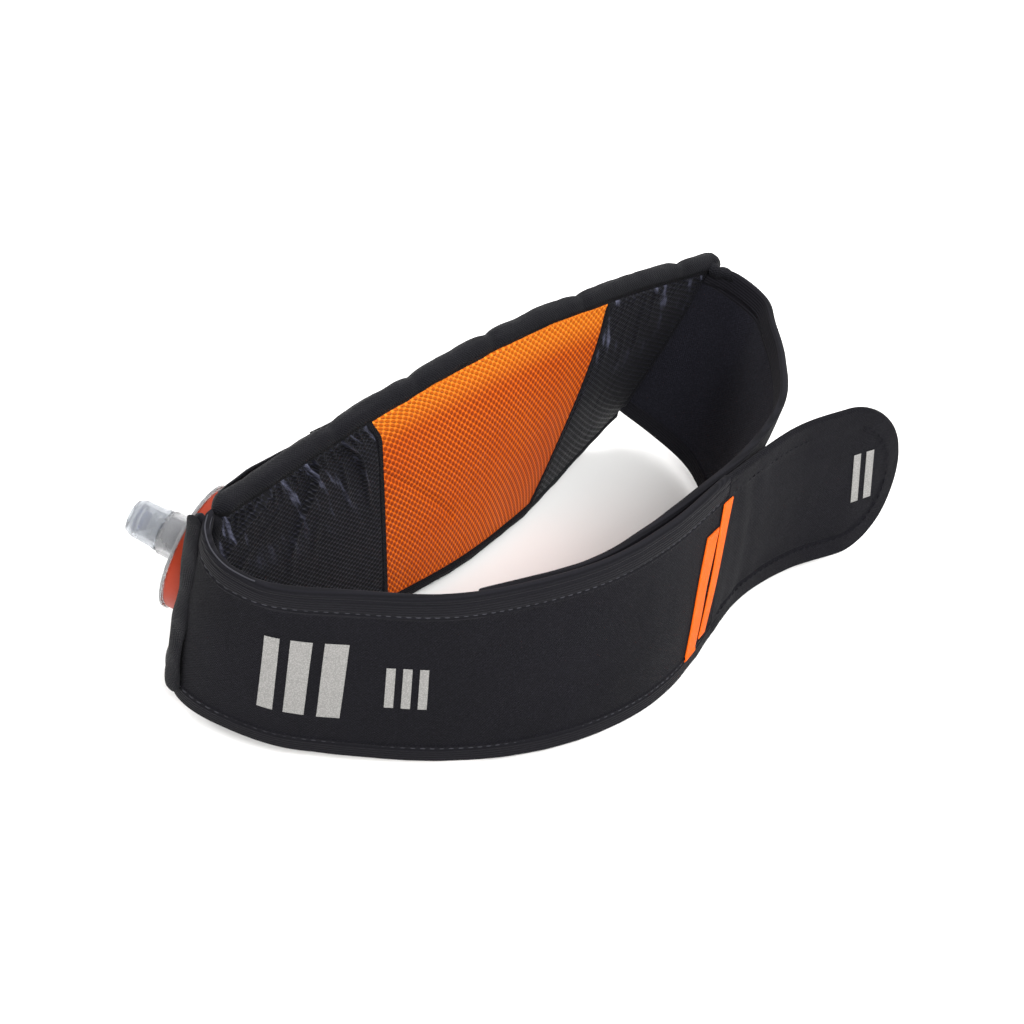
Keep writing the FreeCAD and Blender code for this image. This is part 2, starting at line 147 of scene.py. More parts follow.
class Wall:
    """Ruled cloth wall between a foot and a head curve; depth grows to its outward side."""

    def __init__(self, stations, side):
        self.feet = [Vector(foot) + SHIFT for foot, _ in stations]
        self.heads = [Vector(head) + SHIFT for _, head in stations]
        self.side = side
        self.last = len(stations) - 1.0

    def at(self, foot_u, head_u, share, depth):
        foot = catmull(self.feet, foot_u)
        head = catmull(self.heads, head_u)
        step = 0.03
        after = catmull(self.feet, foot_u + step) + catmull(self.heads, head_u + step)
        before = catmull(self.feet, foot_u - step) + catmull(self.heads, head_u - step)
        normal = (after - before).cross(head - foot).normalized() * self.side
        return foot + (head - foot) * share + normal * depth

    def piece(self, start, end):
        """Point function over a stretch: t along it, v up it."""
        def point(t, v, depth):
            u = mix(start, end, t)
            return self.at(u, u, v, depth)
        return point


left_wall = Wall(LEFT_WING, 1)
tab_wall = Wall(TAB, 1)
right_wall = Wall(RIGHT_WING, -1)


def stations_by_x(points, low, high, count=240):
    """Curve stations at evenly spaced x between low and high."""
    points = [Vector(p) for p in points]
    return [last_below(0.0, len(points) - 1.0, lambda u: catmull(points, u).x < x, 26)
            for x in steps(count, low, high)]


foot_stations = stations_by_x(PANEL_FOOT, PANEL_FOOT[0][0], PANEL_FOOT[-1][0])
head_stations = stations_by_x(PANEL_HEAD, PANEL_HEAD[0][0], PANEL_HEAD[-1][0])
panel_wall = Wall([((0, 0, 0), (0, 0, 1))] * 2, -1)
panel_wall.feet = [Vector(p) + SHIFT for p in PANEL_FOOT]
panel_wall.heads = [Vector(p) + SHIFT for p in PANEL_HEAD]


def lookup(table, share):
    """Value at a share of an evenly spaced table."""
    x = clip(share) * (len(table) - 1)
    i = min(int(x), len(table) - 2)
    return mix(table[i], table[i + 1], x - i)


def panel_point(share, v, depth):
    """Back panel: share runs from its left end to its right end."""
    return panel_wall.at(lookup(foot_stations, share), lookup(head_stations, share), v, depth)


def panel_share(x, v):
    """Share of the panel at a foot x for v = 0 or a head x for v = 1."""
    ends = PANEL_FOOT if v == 0 else PANEL_HEAD
    return (x - ends[0][0]) / (ends[-1][0] - ends[0][0])


# ---- meshes ----
def add_object(name, data):
    """Put a new object into the scene."""
    obj = bpy.data.objects.new(name, data)
    bpy.context.scene.collection.objects.link(obj)
    return obj


def finish_mesh(name, verts, faces, uvs, look):
    """Make the object, orient it and give it its cloth coordinates in metres, material and slot."""
    mesh = bpy.data.meshes.new(name)
    mesh.from_pydata([v * MM for v in verts], [], faces)
    layer = mesh.uv_layers.new(name="cloth")
    for loop in mesh.loops:
        u, v = uvs[loop.vertex_index]
        layer.data[loop.index].uv = (u * MM, v * MM)
    mesh.validate()
    work = bmesh.new()
    work.from_mesh(mesh)
    bmesh.ops.recalc_face_normals(work, faces=work.faces)
    work.to_mesh(mesh)
    work.free()
    obj = add_object(name, mesh)
    for polygon in mesh.polygons:
        polygon.use_smooth = True
    mesh.materials.append(MATERIALS[look])
    return obj


def rounding(gap, radius):
    """0 at an edge, rising to 1 at radius mm from it along a quarter circle."""
    return 1.0 if gap >= radius else math.sqrt(max(0.0, 1 - (1 - gap / radius) ** 2))


def slab(name, point, rows, shares, front, back, look, edge=1.3, ends=(1.3, 1.3), hole=None, room_at=None):
    """Closed cloth slab: point(t, v, depth) in mm, front and back depths from (length, z, height).

    room_at(t, v) gives the distance to a shaped outline; the depths then get it in place of the height.
    """
    m = len(shares) - 1
    n = 2 * m
    lengths = [0.0]
    heights = []
    for i, t in enumerate(rows):
        if i:
            lengths.append(lengths[-1] + (point(t, 0.5, 0) - point(rows[i - 1], 0.5, 0)).length)
        heights.append((point(t, 1, 0) - point(t, 0, 0)).length)
    total = lengths[-1]
    verts, uvs = [], []
    for i, t in enumerate(rows):
        s = lengths[i]
        near_end = rounding(s, ends[0]) * rounding(total - s, ends[1])
        for k in list(range(m + 1)) + list(range(m - 1, 0, -1)):
            is_back = len(verts) - i * n > m
            v = shares[k]
            high = heights[i]
            z = (v - shares[0]) * high
            room = min(z, (shares[-1] - v) * high)
            if room_at:
                room = high = room_at(t, v)
            near = near_end * rounding(room, edge)
            f, b = front(s, z, high), back(s, z, high)
            middle = (f + b) / 2
            depth = middle + ((b if is_back else f) - middle) * near
            verts.append(point(t, v, depth))
            uvs.append((s, z))
    faces = []

    def front_id(i, k):
        return i * n + k

    def back_id(i, k):
        return i * n + (n - k) % n

    for i in range(len(rows) - 1):
        for k in range(m):
            if hole and hole[0] <= i < hole[1] and hole[2] <= k < hole[3]:
                continue
            faces.append((front_id(i, k), front_id(i, k + 1), front_id(i + 1, k + 1), front_id(i + 1, k)))
            faces.append((back_id(i, k), back_id(i + 1, k), back_id(i + 1, k + 1), back_id(i, k + 1)))
    if hole:
        i0, i1, k0, k1 = hole
        for i in range(i0, i1):
            faces.append((front_id(i, k0), front_id(i + 1, k0), back_id(i + 1, k0), back_id(i, k0)))
            faces.append((front_id(i + 1, k1), front_id(i, k1), back_id(i, k1), back_id(i + 1, k1)))
        for k in range(k0, k1):
            faces.append((front_id(i0, k + 1), front_id(i0, k), back_id(i0, k), back_id(i0, k + 1)))
            faces.append((front_id(i1, k), front_id(i1, k + 1), back_id(i1, k + 1), back_id(i1, k)))
    for i, turn in ((0, 1), (len(rows) - 1, -1)):
        for k in range(m):
            corners = [front_id(i, k), back_id(i, k), back_id(i, k + 1), front_id(i, k + 1)]
            unique = [c for j, c in enumerate(corners) if c not in corners[:j]]
            faces.append(tuple(unique[::turn]))
    return finish_mesh(name, verts, faces, uvs, look)


def ring_faces(rings, around, base=0):
    """Side faces and both end caps of a run of rings whose first vertex is base."""
    faces = []
    for i in range(rings - 1):
        for j in range(around):
            a, b = base + i * around + j, base + i * around + (j + 1) % around
            faces.append((a, b, b + around, a + around))
    last = base + (rings - 1) * around
    faces.append(tuple(range(base + around - 1, base - 1, -1)))
    faces.append(tuple(range(last, last + around)))
    return faces


def tube(name, path, radii, look, sides=14, lumps=0.0, hint=None):
    """Soft tube along points in mm; radii is a list of (across, up) half sizes, hint the across direction."""
    verts, uvs = [], []
    length = 0.0
    for i, centre in enumerate(path):
        ahead = path[min(i + 1, len(path) - 1)] - path[max(i - 1, 0)]
        ahead.normalize()
        side = hint - ahead * hint.dot(ahead) if hint else ahead.cross(Vector((0, 0, 1)))
        if side.length < 0.05:
            side = Vector((0, 1, 0))
        side.normalize()
        up = side.cross(ahead).normalized()
        if i:
            length += (centre - path[i - 1]).length
        across, tall = radii[i]
        for j in range(sides):
            angle = 2 * math.pi * j / sides
            swell = 1 + lumps * wobble(length * 0.08, 3 * math.cos(angle), 3 * math.sin(angle))
            verts.append(centre + (side * math.cos(angle) * across + up * math.sin(angle) * tall) * swell)
            uvs.append((length, angle * across))
    return finish_mesh(name, verts, ring_faces(len(path), sides), uvs, look)


# Rings of one thread dash: share of its length and share of its radius.
STITCH_RINGS = ((0, 0.35), (0.2, 0.9), (0.5, 1.0), (0.8, 0.9), (1, 0.35))


def stitches(name, line, look, dash=2.4, gap=1.3, radius=0.28, sink=0.1, sides=6):
    """Row of thread dashes along line(t) -> (point, outward) in mm."""
    count = 400
    samples = [line(t) for t in steps(count)]
    lengths = [0.0]
    for i in range(count):
        lengths.append(lengths[-1] + (samples[i + 1][0] - samples[i][0]).length)

    def at(s):
        i = min(bisect_right(lengths, s), count) - 1
        t = (s - lengths[i]) / max(lengths[i + 1] - lengths[i], 1e-6)
        return samples[i][0].lerp(samples[i + 1][0], t), samples[i][1]

    verts, faces, uvs = [], [], []
    s = gap
    while s + dash < lengths[-1]:
        faces += ring_faces(len(STITCH_RINGS), sides, len(verts))
        for share, size in STITCH_RINGS:
            centre, outward = at(s + dash * share)
            ahead = (at(s + dash)[0] - at(s)[0]).normalized()
            side = ahead.cross(outward).normalized()
            lift = radius * (size - 0.6) - sink
            for k in range(sides):
                angle = 2 * math.pi * k / sides
                high = math.sin(angle) * radius * size + lift
                verts.append(centre + side * math.cos(angle) * radius * size + outward * high)
                uvs.append((s + dash * share, k * 0.2))
        s += dash + gap * random.uniform(0.85, 1.15)
    return finish_mesh(name, verts, faces, uvs, look)


def heights(total, fine_low, fine_high, coarse, fine=0.42):
    """Shares of a height in mm: fine near both edges and coarse between."""
    marks = [0, 0.08, 0.25, 0.55, 0.95]
    margin = 1.35
    z = margin
    while z < total - margin:
        marks.append(z)
        z += fine if z < fine_low or z > total - fine_high else coarse
    marks += [total - 0.95, total - 0.55, total - 0.25, total - 0.08, total]
    return [z / total for z in marks]


# ---- materials ----
def rgb(hex_color):
    """Linear colour from a six-digit hex value."""
    parts = [int(hex_color[i:i + 2], 16) / 255 for i in (0, 2, 4)]
    return tuple(c / 12.92 if c < 0.04045 else ((c + 0.055) / 1.055) ** 2.4 for c in parts) + (1.0,)


class Graph:
    """Procedural material with short calls for its nodes."""

    def __init__(self, name, **sockets):
        self.mat = bpy.data.materials.new(name)
        self.mat.use_nodes = True
        self.tree = self.mat.node_tree
        self.bsdf = self.tree.nodes["Principled BSDF"]
        for key, value in sockets.items():
            self.bsdf.inputs[key.replace("_", " ")].default_value = value

    def add(self, kind, inputs, **props):
        node = self.tree.nodes.new("ShaderNode" + kind)
        for key, value in props.items():
            setattr(node, key, value)
        self.set(node, inputs)
        return node

    def set(self, node, inputs):
        """Link or set a node's inputs."""
        for key, value in inputs.items():
            if isinstance(value, bpy.types.NodeSocket):
                self.tree.links.new(value, node.inputs[key])
            else:
                node.inputs[key].default_value = value

    def math(self, operation, *values):
        return self.add("Math", dict(enumerate(values)), operation=operation).outputs[0]

    def vector(self, operation, *values):
        node = self.add("VectorMath", dict(enumerate(values)), operation=operation)
        return node.outputs["Value"] if operation == "LENGTH" else node.outputs[0]

    def cloth(self):
        return self.add("UVMap", {}, uv_map="cloth").outputs["UV"]

    def parts(self, where):
        return self.add("SeparateXYZ", {0: where}).outputs

    def join(self, x, y):
        return self.add("CombineXYZ", {0: x, 1: y, 2: 0.0}).outputs[0]

    def place(self):
        return self.add("TexCoord", {}).outputs["Object"]

    def cells(self, where, scale):
        return self.add("TexVoronoi", {"Vector": where, "Scale": scale}).outputs["Distance"]

    def noise(self, where, scale, detail=3.0, rough=0.55):
        inputs = {"Vector": where, "Scale": scale, "Detail": detail, "Roughness": rough}
        return self.add("TexNoise", inputs).outputs["Fac"]

    def fit(self, value, low, high, to_low=0.0, to_high=1.0):
        inputs = {0: value, 1: low, 2: high, 3: to_low, 4: to_high}
        return self.add("MapRange", inputs, interpolation_type="SMOOTHSTEP").outputs[0]

    def total(self, *terms):
        """Sum of (value, factor) pairs; a factor of None adds the value as it is."""
        parts = [value if factor is None else self.math("MULTIPLY", value, factor) for value, factor in terms]
        result = parts[0]
        for part in parts[1:]:
            result = self.math("ADD", result, part)
        return result

    def blend(self, factor, first, second):
        """Mix of two colours, each a socket or a six-digit hex value."""
        first, second = [rgb(color) if isinstance(color, str) else color for color in (first, second)]
        inputs = {0: factor, 6: first, 7: second}
        return self.add("Mix", inputs, data_type="RGBA").outputs[2]

    def dots(self, where, across, up, soft_low=0.24, soft_high=0.42):
        """1 on the threads and 0 in the holes of an open knit with that pitch in metres."""
        scaled = self.vector("DIVIDE", where, (across, up, 1.0))
        near = []
        for shift in (0.0, 0.5):
            moved = self.vector("ADD", scaled, (shift, shift, 0.0))
            cell = self.vector("SUBTRACT", self.vector("FRACTION", moved), (0.5, 0.5, 0.0))
            near.append(self.vector("LENGTH", self.vector("MULTIPLY", cell, (1.0, 0.9, 0.0))))
        return self.fit(self.math("MINIMUM", near[0], near[1]), soft_low, soft_high)

    def wave(self, value, period):
        """Sine of a coordinate, with its period in metres."""
        return self.math("SINE", self.math("MULTIPLY", value, 2 * math.pi / period))

    def weave(self, where, pitch):
        """Height of a plain weave with that thread pitch in metres."""
        parts = self.parts(where)
        waves = [self.wave(parts[k], 2 * pitch) for k in (0, 1)]
        return self.math("MULTIPLY", waves[0], waves[1])

    def finish(self, color, rough, height, distance, strength=1.0):
        """Connect colour, roughness and bump height (distance in metres)."""
        bump_node = self.add("Bump", {"Height": height, "Distance": distance, "Strength": strength})
        self.set(self.bsdf, {"Base Color": color, "Roughness": rough, "Normal": bump_node.outputs["Normal"]})
        return self.mat


def neoprene(name, base, light, sheen=0.03, rough=0.86):
    """Knit-faced foam: fine pile, speckle and soft tone changes."""
    g = Graph(name, Sheen_Weight=sheen, Sheen_Roughness=0.45, Specular_IOR_Level=0.07)
    uv, place = g.cloth(), g.place()
    speck = g.noise(place, 1500.0, 2.0, 0.7)
    tone = g.noise(place, 24.0, 3.0)
    grain = g.noise(place, 420.0, 3.0)
    amount = g.total((g.fit(speck, 0.42, 0.74), 0.55), (tone, 0.35))
    color = g.blend(amount, base, light)
    height = g.total((g.weave(uv, 0.00065), 0.35), (g.math("ADD", grain, speck), None))
    return g.finish(color, g.total((grain, 0.12), (rough - 0.06, None)), height, 0.00022)


def ridged(name, base, light):
    """Folded hem tape: fine cords along its length."""
    g = Graph(name, Sheen_Weight=0.02, Sheen_Roughness=0.4, Specular_IOR_Level=0.1)
    uv, place = g.cloth(), g.place()
    parts = g.parts(uv)
    cords = g.wave(parts[1], 0.0011)
    speck = g.noise(place, 1300.0, 2.0, 0.7)
    amount = g.total((g.fit(cords, -1.0, 1.0), 0.35), (speck, 0.4))
    color = g.blend(amount, base, light)
    height = g.total((cords, 0.6), (speck, None))
    return g.finish(color, 0.8, height, 0.00012)


def woven(name, base, light, pitch=0.0006, rough=0.6, sheen=0.04, depth=0.0001):
    """Plain woven stretch fabric with soft creases."""
    g = Graph(name, Sheen_Weight=sheen, Sheen_Roughness=0.35, Specular_IOR_Level=0.14)
    uv, place = g.cloth(), g.place()
    weave = g.weave(uv, pitch)
    crease = g.noise(place, 60.0, 4.0)
    fuzz = g.noise(place, 900.0, 2.0)
    amount = g.total((g.fit(weave, -1.0, 1.0), 0.25), (crease, 0.55))
    color = g.blend(amount, base, light)
    height = g.total((weave, 0.7), (g.total((crease, 2.0), (fuzz, None)), None))
    return g.finish(color, g.total((fuzz, 0.15), (rough - 0.07, None)), height, depth)


def air_mesh():
    """Orange spacer mesh: rows of oval holes, its stretched top band painted lighter as a painted highlight.
    """
    g = Graph("orange_air_mesh", Sheen_Weight=0.01, Sheen_Roughness=0.4, Specular_IOR_Level=0.1)
    uv, place = g.cloth(), g.place()
    parts = g.parts(uv)
    drift = g.math("MULTIPLY", g.math("SUBTRACT", g.noise(place, 14.0, 2.0), 0.5), 0.006)
    slant = g.total((parts[1], 0.22), (drift, None))
    moved = g.join(g.math("ADD", parts[0], slant), parts[1])
    threads = g.dots(moved, 0.0030, 0.0034, 0.16, 0.42)
    # top: mask of the stretched top band; threads and holes there are painted lighter as a painted highlight
    top = g.fit(parts[1], 0.071, 0.088)
    tone = g.noise(place, 30.0, 3.0)
    body = g.blend(tone, "D85608", "F07412")
    body = g.blend(top, body, "F28C26")
    hole = g.blend(top, "8E340A", "C05A0C")
    color = g.blend(threads, hole, body)
    fuzz = g.noise(place, 1400.0, 2.0)
    height = g.total((threads, None), (fuzz, 0.3))
    return g.finish(color, 0.6, height, 0.0005, 0.9)


def knit_mesh():
    """Navy-black power mesh: upright rows of small dark holes with a wet-looking yarn, and painted highlights
    on wrinkle streaks near its top.
    """
    g = Graph("navy_knit_mesh", Sheen_Weight=0.01, Sheen_Roughness=0.3, Specular_IOR_Level=0.22)
    uv, place = g.cloth(), g.place()
    threads = g.dots(uv, 0.0030, 0.0022, 0.18, 0.44)
    tone = g.noise(place, 40.0, 3.0)
    yarn = g.blend(tone, "0A0A12", "171826")
    color = g.blend(threads, "030306", yarn)
    parts = g.parts(uv)
    slant = g.total((parts[0], None), (parts[1], 0.4))
    drawn = g.join(slant, g.math("MULTIPLY", parts[1], 0.16))
    # Painted highlight: light grey streaks along the wrinkles fanning down from the top edge.
    painted_wrinkle_highlight = g.math("MULTIPLY", g.fit(g.noise(drawn, 210.0, 3.0), 0.55, 0.72), g.fit(parts[1], 0.04, 0.078))
    color = g.blend(g.math("MULTIPLY", painted_wrinkle_highlight, 0.85), color, "5E6074")
    fuzz = g.noise(place, 1500.0, 2.0)
    height = g.total((threads, None), (fuzz, 0.25))
    return g.finish(color, g.fit(threads, 0.0, 1.0, 0.8, 0.5), height, 0.0004, 0.8)


def elastic_ribbon():
    """Bright flat elastic with lengthwise cords."""
    g = Graph("orange_ribbon", Sheen_Weight=0.01, Sheen_Roughness=0.4, Specular_IOR_Level=0.1)
    uv, place = g.cloth(), g.place()
    parts = g.parts(uv)
    cords = g.wave(parts[0], 0.0011)
    ribs = g.wave(parts[1], 0.0007)
    tone = g.noise(place, 160.0, 3.0)
    amount = g.total((g.fit(cords, -1.0, 1.0, 0.1, 0.5), None), (tone, 0.5))
    color = g.blend(amount, "DC4C06", "F26A18")
    height = g.total((cords, None), (ribs, 0.5))
    return g.finish(color, 0.62, height, 0.00012)


def fleece(name, base, light):
    """Loop pile: dense short curls."""
    g = Graph(name, Sheen_Weight=0.05, Sheen_Roughness=0.6, Specular_IOR_Level=0.08)
    place = g.place()
    curls = g.cells(place, 900.0)
    tone = g.noise(place, 250.0, 3.0)
    color = g.blend(g.total((curls, None), (tone, 0.4)), base, light)
    return g.finish(color, 0.95, g.math("ADD", curls, tone), 0.0006)


def moulded(name, base, light, rough=0.35, grain=700.0, depth=0.00004, **sockets):
    """Moulded plastic or rubber with fine texture, scuffs and soft tone changes."""
    g = Graph(name, **sockets)
    place = g.place()
    fine = g.noise(place, grain, 3.0)
    tone = g.noise(place, 55.0, 4.0)
    color = g.blend(tone, base, light)
    gloss = g.total((g.fit(tone, 0.45, 0.75), 0.18), (rough, None))
    return g.finish(color, gloss, fine, depth)


def reflective_print():
    """Grey glass-bead transfer, sparkling and slightly worn."""
    g = Graph("reflective_print", Specular_IOR_Level=0.3)
    place = g.place()
    beads = g.cells(place, 1800.0)
    wear = g.noise(place, 300.0, 4.0, 0.7)
    color = g.blend(g.fit(beads, 0.0, 0.7), "949290", "777674")
    color = g.blend(g.fit(wear, 0.66, 0.74), color, "55555A")
    return g.finish(color, g.total((wear, 0.2), (0.45, None)), beads, 0.0001)


MATERIALS = {
    "wing": neoprene("wing_neoprene", "09090C", "1A191F", 0.015),
    "lining": neoprene("wing_lining", "0E0E13", "22222A", 0.02, 0.8),
    "hem": ridged("hem_tape", "08080B", "1A191F"),
    "orange": air_mesh(),
    "knit": knit_mesh(),
    "fabric": woven("stretch_fabric", "08080D", "16161D", 0.0006, 0.62, 0.015),
    "binding": woven("binding_fabric", "06060A", "131319", 0.0006, 0.7, 0.01, 0.00025),
    "pad": woven("pad_lining", "0B0B0F", "17171C", 0.001, 0.8, 0.02),
    "tape": woven("zip_tape", "0E0E12", "22222A", 0.0005, 0.7, 0.03),
    "ribbon": elastic_ribbon(),
    "loop": fleece("loop_pile", "0B0B0D", "1E1E24"),
    "hook": fleece("hook_field", "0A0A0C", "1C1C20"),
    "thread": moulded("grey_thread", "2A2A2F", "404046", 0.8, 2500.0, 0.00008, Specular_IOR_Level=0.15),
    "dark_thread": moulded("black_thread", "09090D", "16161B", 0.8, 2500.0, 0.00008, Specular_IOR_Level=0.08),
    "print": reflective_print(),
    "cap": moulded("cap_orange", "8C2406", "A8340C", 0.45, 600.0, 0.00005, Specular_IOR_Level=0.2,
                   Coat_Weight=0.03, Subsurface_Weight=0.06, Subsurface_Radius=(0.004, 0.001, 0.0005)),
    "clear": moulded("frosted_clear", "C9CACD", "DADADB", 0.24, 400.0, 0.00002, Transmission_Weight=0.8,
                     IOR=1.3),
    "silicone": moulded("milky_silicone", "B4B8BE", "CBCED2", 0.2, 500.0, 0.00001, Transmission_Weight=0.76,
                        IOR=1.22),
    "blue": moulded("blue_core", "041C58", "0A3690", 0.35, 600.0, 0.00004),
    "slate": moulded("slate_seat", "2C3442", "465062", 0.4, 600.0, 0.00004),
    "film": moulded("flask_film", "A4B0B8", "C2CCD2", 0.3, 160.0, 0.0002, Transmission_Weight=0.75, IOR=1.4),
    "zip_plastic": moulded("zip_coil", "0B0B0D", "1E1E22", 0.4, 900.0, 0.00005),
    "zip_metal": moulded("zip_enamel", "0A0A0C", "1A1A1E", 0.25, 900.0, 0.00003, Metallic=0.6),
}
# Slot of each look that is not plain dark fabric.
for node, key in (
        ("cap_ring", "cap"), ("cap_flange", "clear"), ("valve_base", "clear"), ("valve_seat", "slate"),
        ("valve_core", "blue"), ("valve_mouthpiece", "silicone"), ("valve_tip_ring", "blue"),
        ("cap_gasket", "silicone"), ("flask_collar", "clear"), ("zip_tape_upper", "tape"),
        ("zip_tape_lower", "tape"), ("zip_teeth_upper", "zip_plastic"), ("zip_teeth_lower", "zip_plastic"),
        ("zip_stops", "zip_plastic"), ("zip_slider", "zip_metal"), ("zip_pull", "zip_plastic")):
    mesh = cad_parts[node].data
    mesh.materials.clear()
    mesh.materials.append(MATERIALS[key])


# ---- wings ----
TOP_HEM, LOW_HEM = 10.6, 8.2


def in_band(gap, width):
    """1 on a hem of that width, 0 on the panel beside it."""
    return smooth(width + 0.5, width - 0.4, gap)


def wing_front(pucker_at=None):
    """Outer face of a wing: folded hems with a sewn groove, and a slightly puffed panel."""
    def front(s, z, high):
        top = high - z
        d = 0.55 * in_band(top, TOP_HEM) + 0.45 * in_band(z, LOW_HEM)
        d -= 0.5 * bump(top, TOP_HEM - 1.3, 0.55) + 0.45 * bump(z, LOW_HEM - 1.2, 0.5)
        d -= 0.3 * bump(top, 3.2, 0.4)
        d += 0.5 * arch((z - LOW_HEM) / (high - TOP_HEM - LOW_HEM))
        d += 0.55 * wobble(s * 0.022, z * 0.03, 2.0) + 0.22 * wobble(s * 0.09, z * 0.05, 5.0)
        if pucker_at is not None:
            near = bump(s, pucker_at, 22.0)
            d += near * 0.35 * wobble(s * 0.3, z * 0.03, 9.0)
        return d
    return front


def wing_back(s, z, high):
    """Inner face of a wing."""
    top = high - z
    d = -CLOTH - 0.4 * in_band(top, TOP_HEM) - 0.35 * in_band(z, LOW_HEM)
    return d + 0.4 * bump(top, TOP_HEM - 1.3, 0.6) + 0.25 * wobble(s * 0.04, z * 0.04, 7.0)


def hem_faces(obj, low, high_band, total, mat):
    """Give the hem bands their own tape material, by cloth height."""
    mesh = obj.data
    mesh.materials.append(mat)
    layer = mesh.uv_layers["cloth"].data
    for polygon in mesh.polygons:
        z = sum(layer[i].uv[1] for i in polygon.loop_indices) / polygon.loop_total / MM
        if z > total - high_band or z < low:
            polygon.material_index = 1


wing_shares = heights(WING_HIGH, 11.0, 13.0, 2.6)
left_end = left_wall.last - 0.012


def left_point(t, v, depth):
    """Left wing, its lower edge rising a little where the tab starts."""
    u = left_end * t
    v += (1 - v) * 0.029 * smooth(9.72, 9.985, u)
    return left_wall.at(u, u, v, depth)


left_rows = steps(190, ease=0.006)
left_face = wing_front(270.0)
left_skin = slab("left_wing_skin", left_point, left_rows, wing_shares, left_face, wing_back,
                 "wing", 1.6, (2.0, 0))
left_marks = [0.0]
for before, after in zip(left_rows, left_rows[1:]):
    left_marks.append(left_marks[-1] + (left_point(after, 0.5, 0) - left_point(before, 0.5, 0)).length)
left_length = left_marks[-1]
hem_faces(left_skin, LOW_HEM - 0.6, TOP_HEM - 0.6, WING_HIGH, MATERIALS["hem"])
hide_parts("left_wing_root", "left_wing_panel", "left_wing_top_hem", "left_wing_bottom_hem")


def on_wall(wall, u_low, u_high, from_edge, face):
    """Line on a wall for stitches: from_edge in mm from the head if positive, from the foot if negative."""
    def line(t):
        u = mix(u_low, u_high, t)
        high = (wall.at(u, u, 1, 0) - wall.at(u, u, 0, 0)).length
        share = 1 - from_edge / high if from_edge > 0 else -from_edge / high
        point = wall.at(u, u, share, face)
        return point, (wall.at(u, u, share, face + (1 if face > -1 else -1)) - point)
    return line


def over_left_joint(obj):
    """Bake the transform of a piece that lies between the bag and the swinging left wing."""
    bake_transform(obj)


over_left_joint(left_skin)
for name, edge_gap, wall_face in (("left_top_stitches", TOP_HEM - 1.3, 0.1),
                                  ("left_low_stitches", 1.2 - LOW_HEM, 0.0)):
    line = on_wall(left_wall, 0.35, left_wall.last - 0.1, edge_gap, wall_face)
    over_left_joint(stitches(name, line, "thread"))


def over_right_joint(obj):
    """Bake the transform of a piece that lies between the bag and the swinging right wing."""
    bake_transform(obj)


def right_front(s, z, high):
    return -wing_back(s, z, high)


def right_back(s, z, high):
    """Inner face of the right wing, seen inside the loop: a flat light band below the top hem."""
    top = high - z
    d = -0.5 * smooth(9.5, 8.6, top) - 0.4 * smooth(8.0, 7.2, z)
    d += 0.4 * bump(top, 9.0, 0.5) + 0.4 * bump(z, 7.5, 0.5)
    d += 0.6 * wobble(s * 0.02, z * 0.025, 12.0) + 0.25 * wobble(s * 0.1, z * 0.03, 15.0)
    return d


right_skin = slab("right_wing_skin", right_wall.piece(0.02, right_wall.last), steps(190, ease=0.006),
                  wing_shares, right_front, right_back, "lining", 1.5, (1.2, 2.0))
hem_faces(right_skin, 7.4, 8.8, WING_HIGH, MATERIALS["hem"])
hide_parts("right_wing_root", "right_wing_panel", "right_wing_top_hem", "right_wing_bottom_hem")
over_right_joint(right_skin)
for name, edge_gap, wall_face in (("right_top_stitches", 8.0, -0.15), ("right_low_stitches", -6.6, -0.1)):
    def inner_line(t, base=on_wall(right_wall, 0.2, right_wall.last - 0.2, edge_gap, wall_face)):
        point, outward = base(t)
        return point, -outward
    over_right_joint(stitches(name, inner_line, "dark_thread"))
patch = slab("right_loop_pile", right_wall.piece(6.4, right_wall.last - 0.1), steps(60, ease=0.01),
             [0.16 + 0.68 * v for v in heights(54.0, 2.0, 2.0, 3.0)],
             lambda s, z, h: CLOTH + 1.3 + 0.15 * wobble(s * 0.2, z * 0.2), lambda s, z, h: CLOTH + 0.1,
             "loop", 0.8, (0.8, 0.8))
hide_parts("right_loop_patch")
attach(patch, "right_wing")


# ---- prints and ribbons ----
def strip_on(name, wall, near_edge, far_edge, low, high, lift, thick, look, columns=6, rows=24, sway=None,
             base=None):
    """Thin strip on a wall between two slanted edges, each a (foot, head) station pair."""
    def point(t, v, depth):
        share = mix(low, high, v)
        shift = sway(v) if sway else 0.0
        u = mix(mix(near_edge[0], near_edge[1], share), mix(far_edge[0], far_edge[1], share), t) + shift
        return wall.at(u, u, share, depth + (base(u, share) if base else 0.0))
    top = lift + thick
    return slab(name, point, steps(columns, ease=0.12), steps(rows, ease=0.02),
                lambda s, z, h: top, lambda s, z, h: lift, look, thick * 0.7, (thick * 0.7, thick * 0.7))


def left_relief(u, share):
    """Depth of the left wing's outer face at a station and a share of its height."""
    t = clip(u / left_end)
    i = min(max(bisect_left(left_rows, t) - 1, 0), len(left_rows) - 2)
    along = (t - left_rows[i]) / (left_rows[i + 1] - left_rows[i])
    return left_face(mix(left_marks[i], left_marks[i + 1], along), share * WING_HIGH, WING_HIGH)


def bars(prefix, wall, spans, low, high, lift, body, base=None):
    """Slanted print bars on a wall, one for each (start, end, lean) span of stations."""
    made = []
    for i, (start, end, lean) in enumerate(spans):
        obj = strip_on("%s_%d" % (prefix, i + 1), wall, (start, start + lean), (end, end + lean), low, high,
                       lift, 0.2, "print", base=base)
        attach(obj, body)
        made.append(obj)
    return made


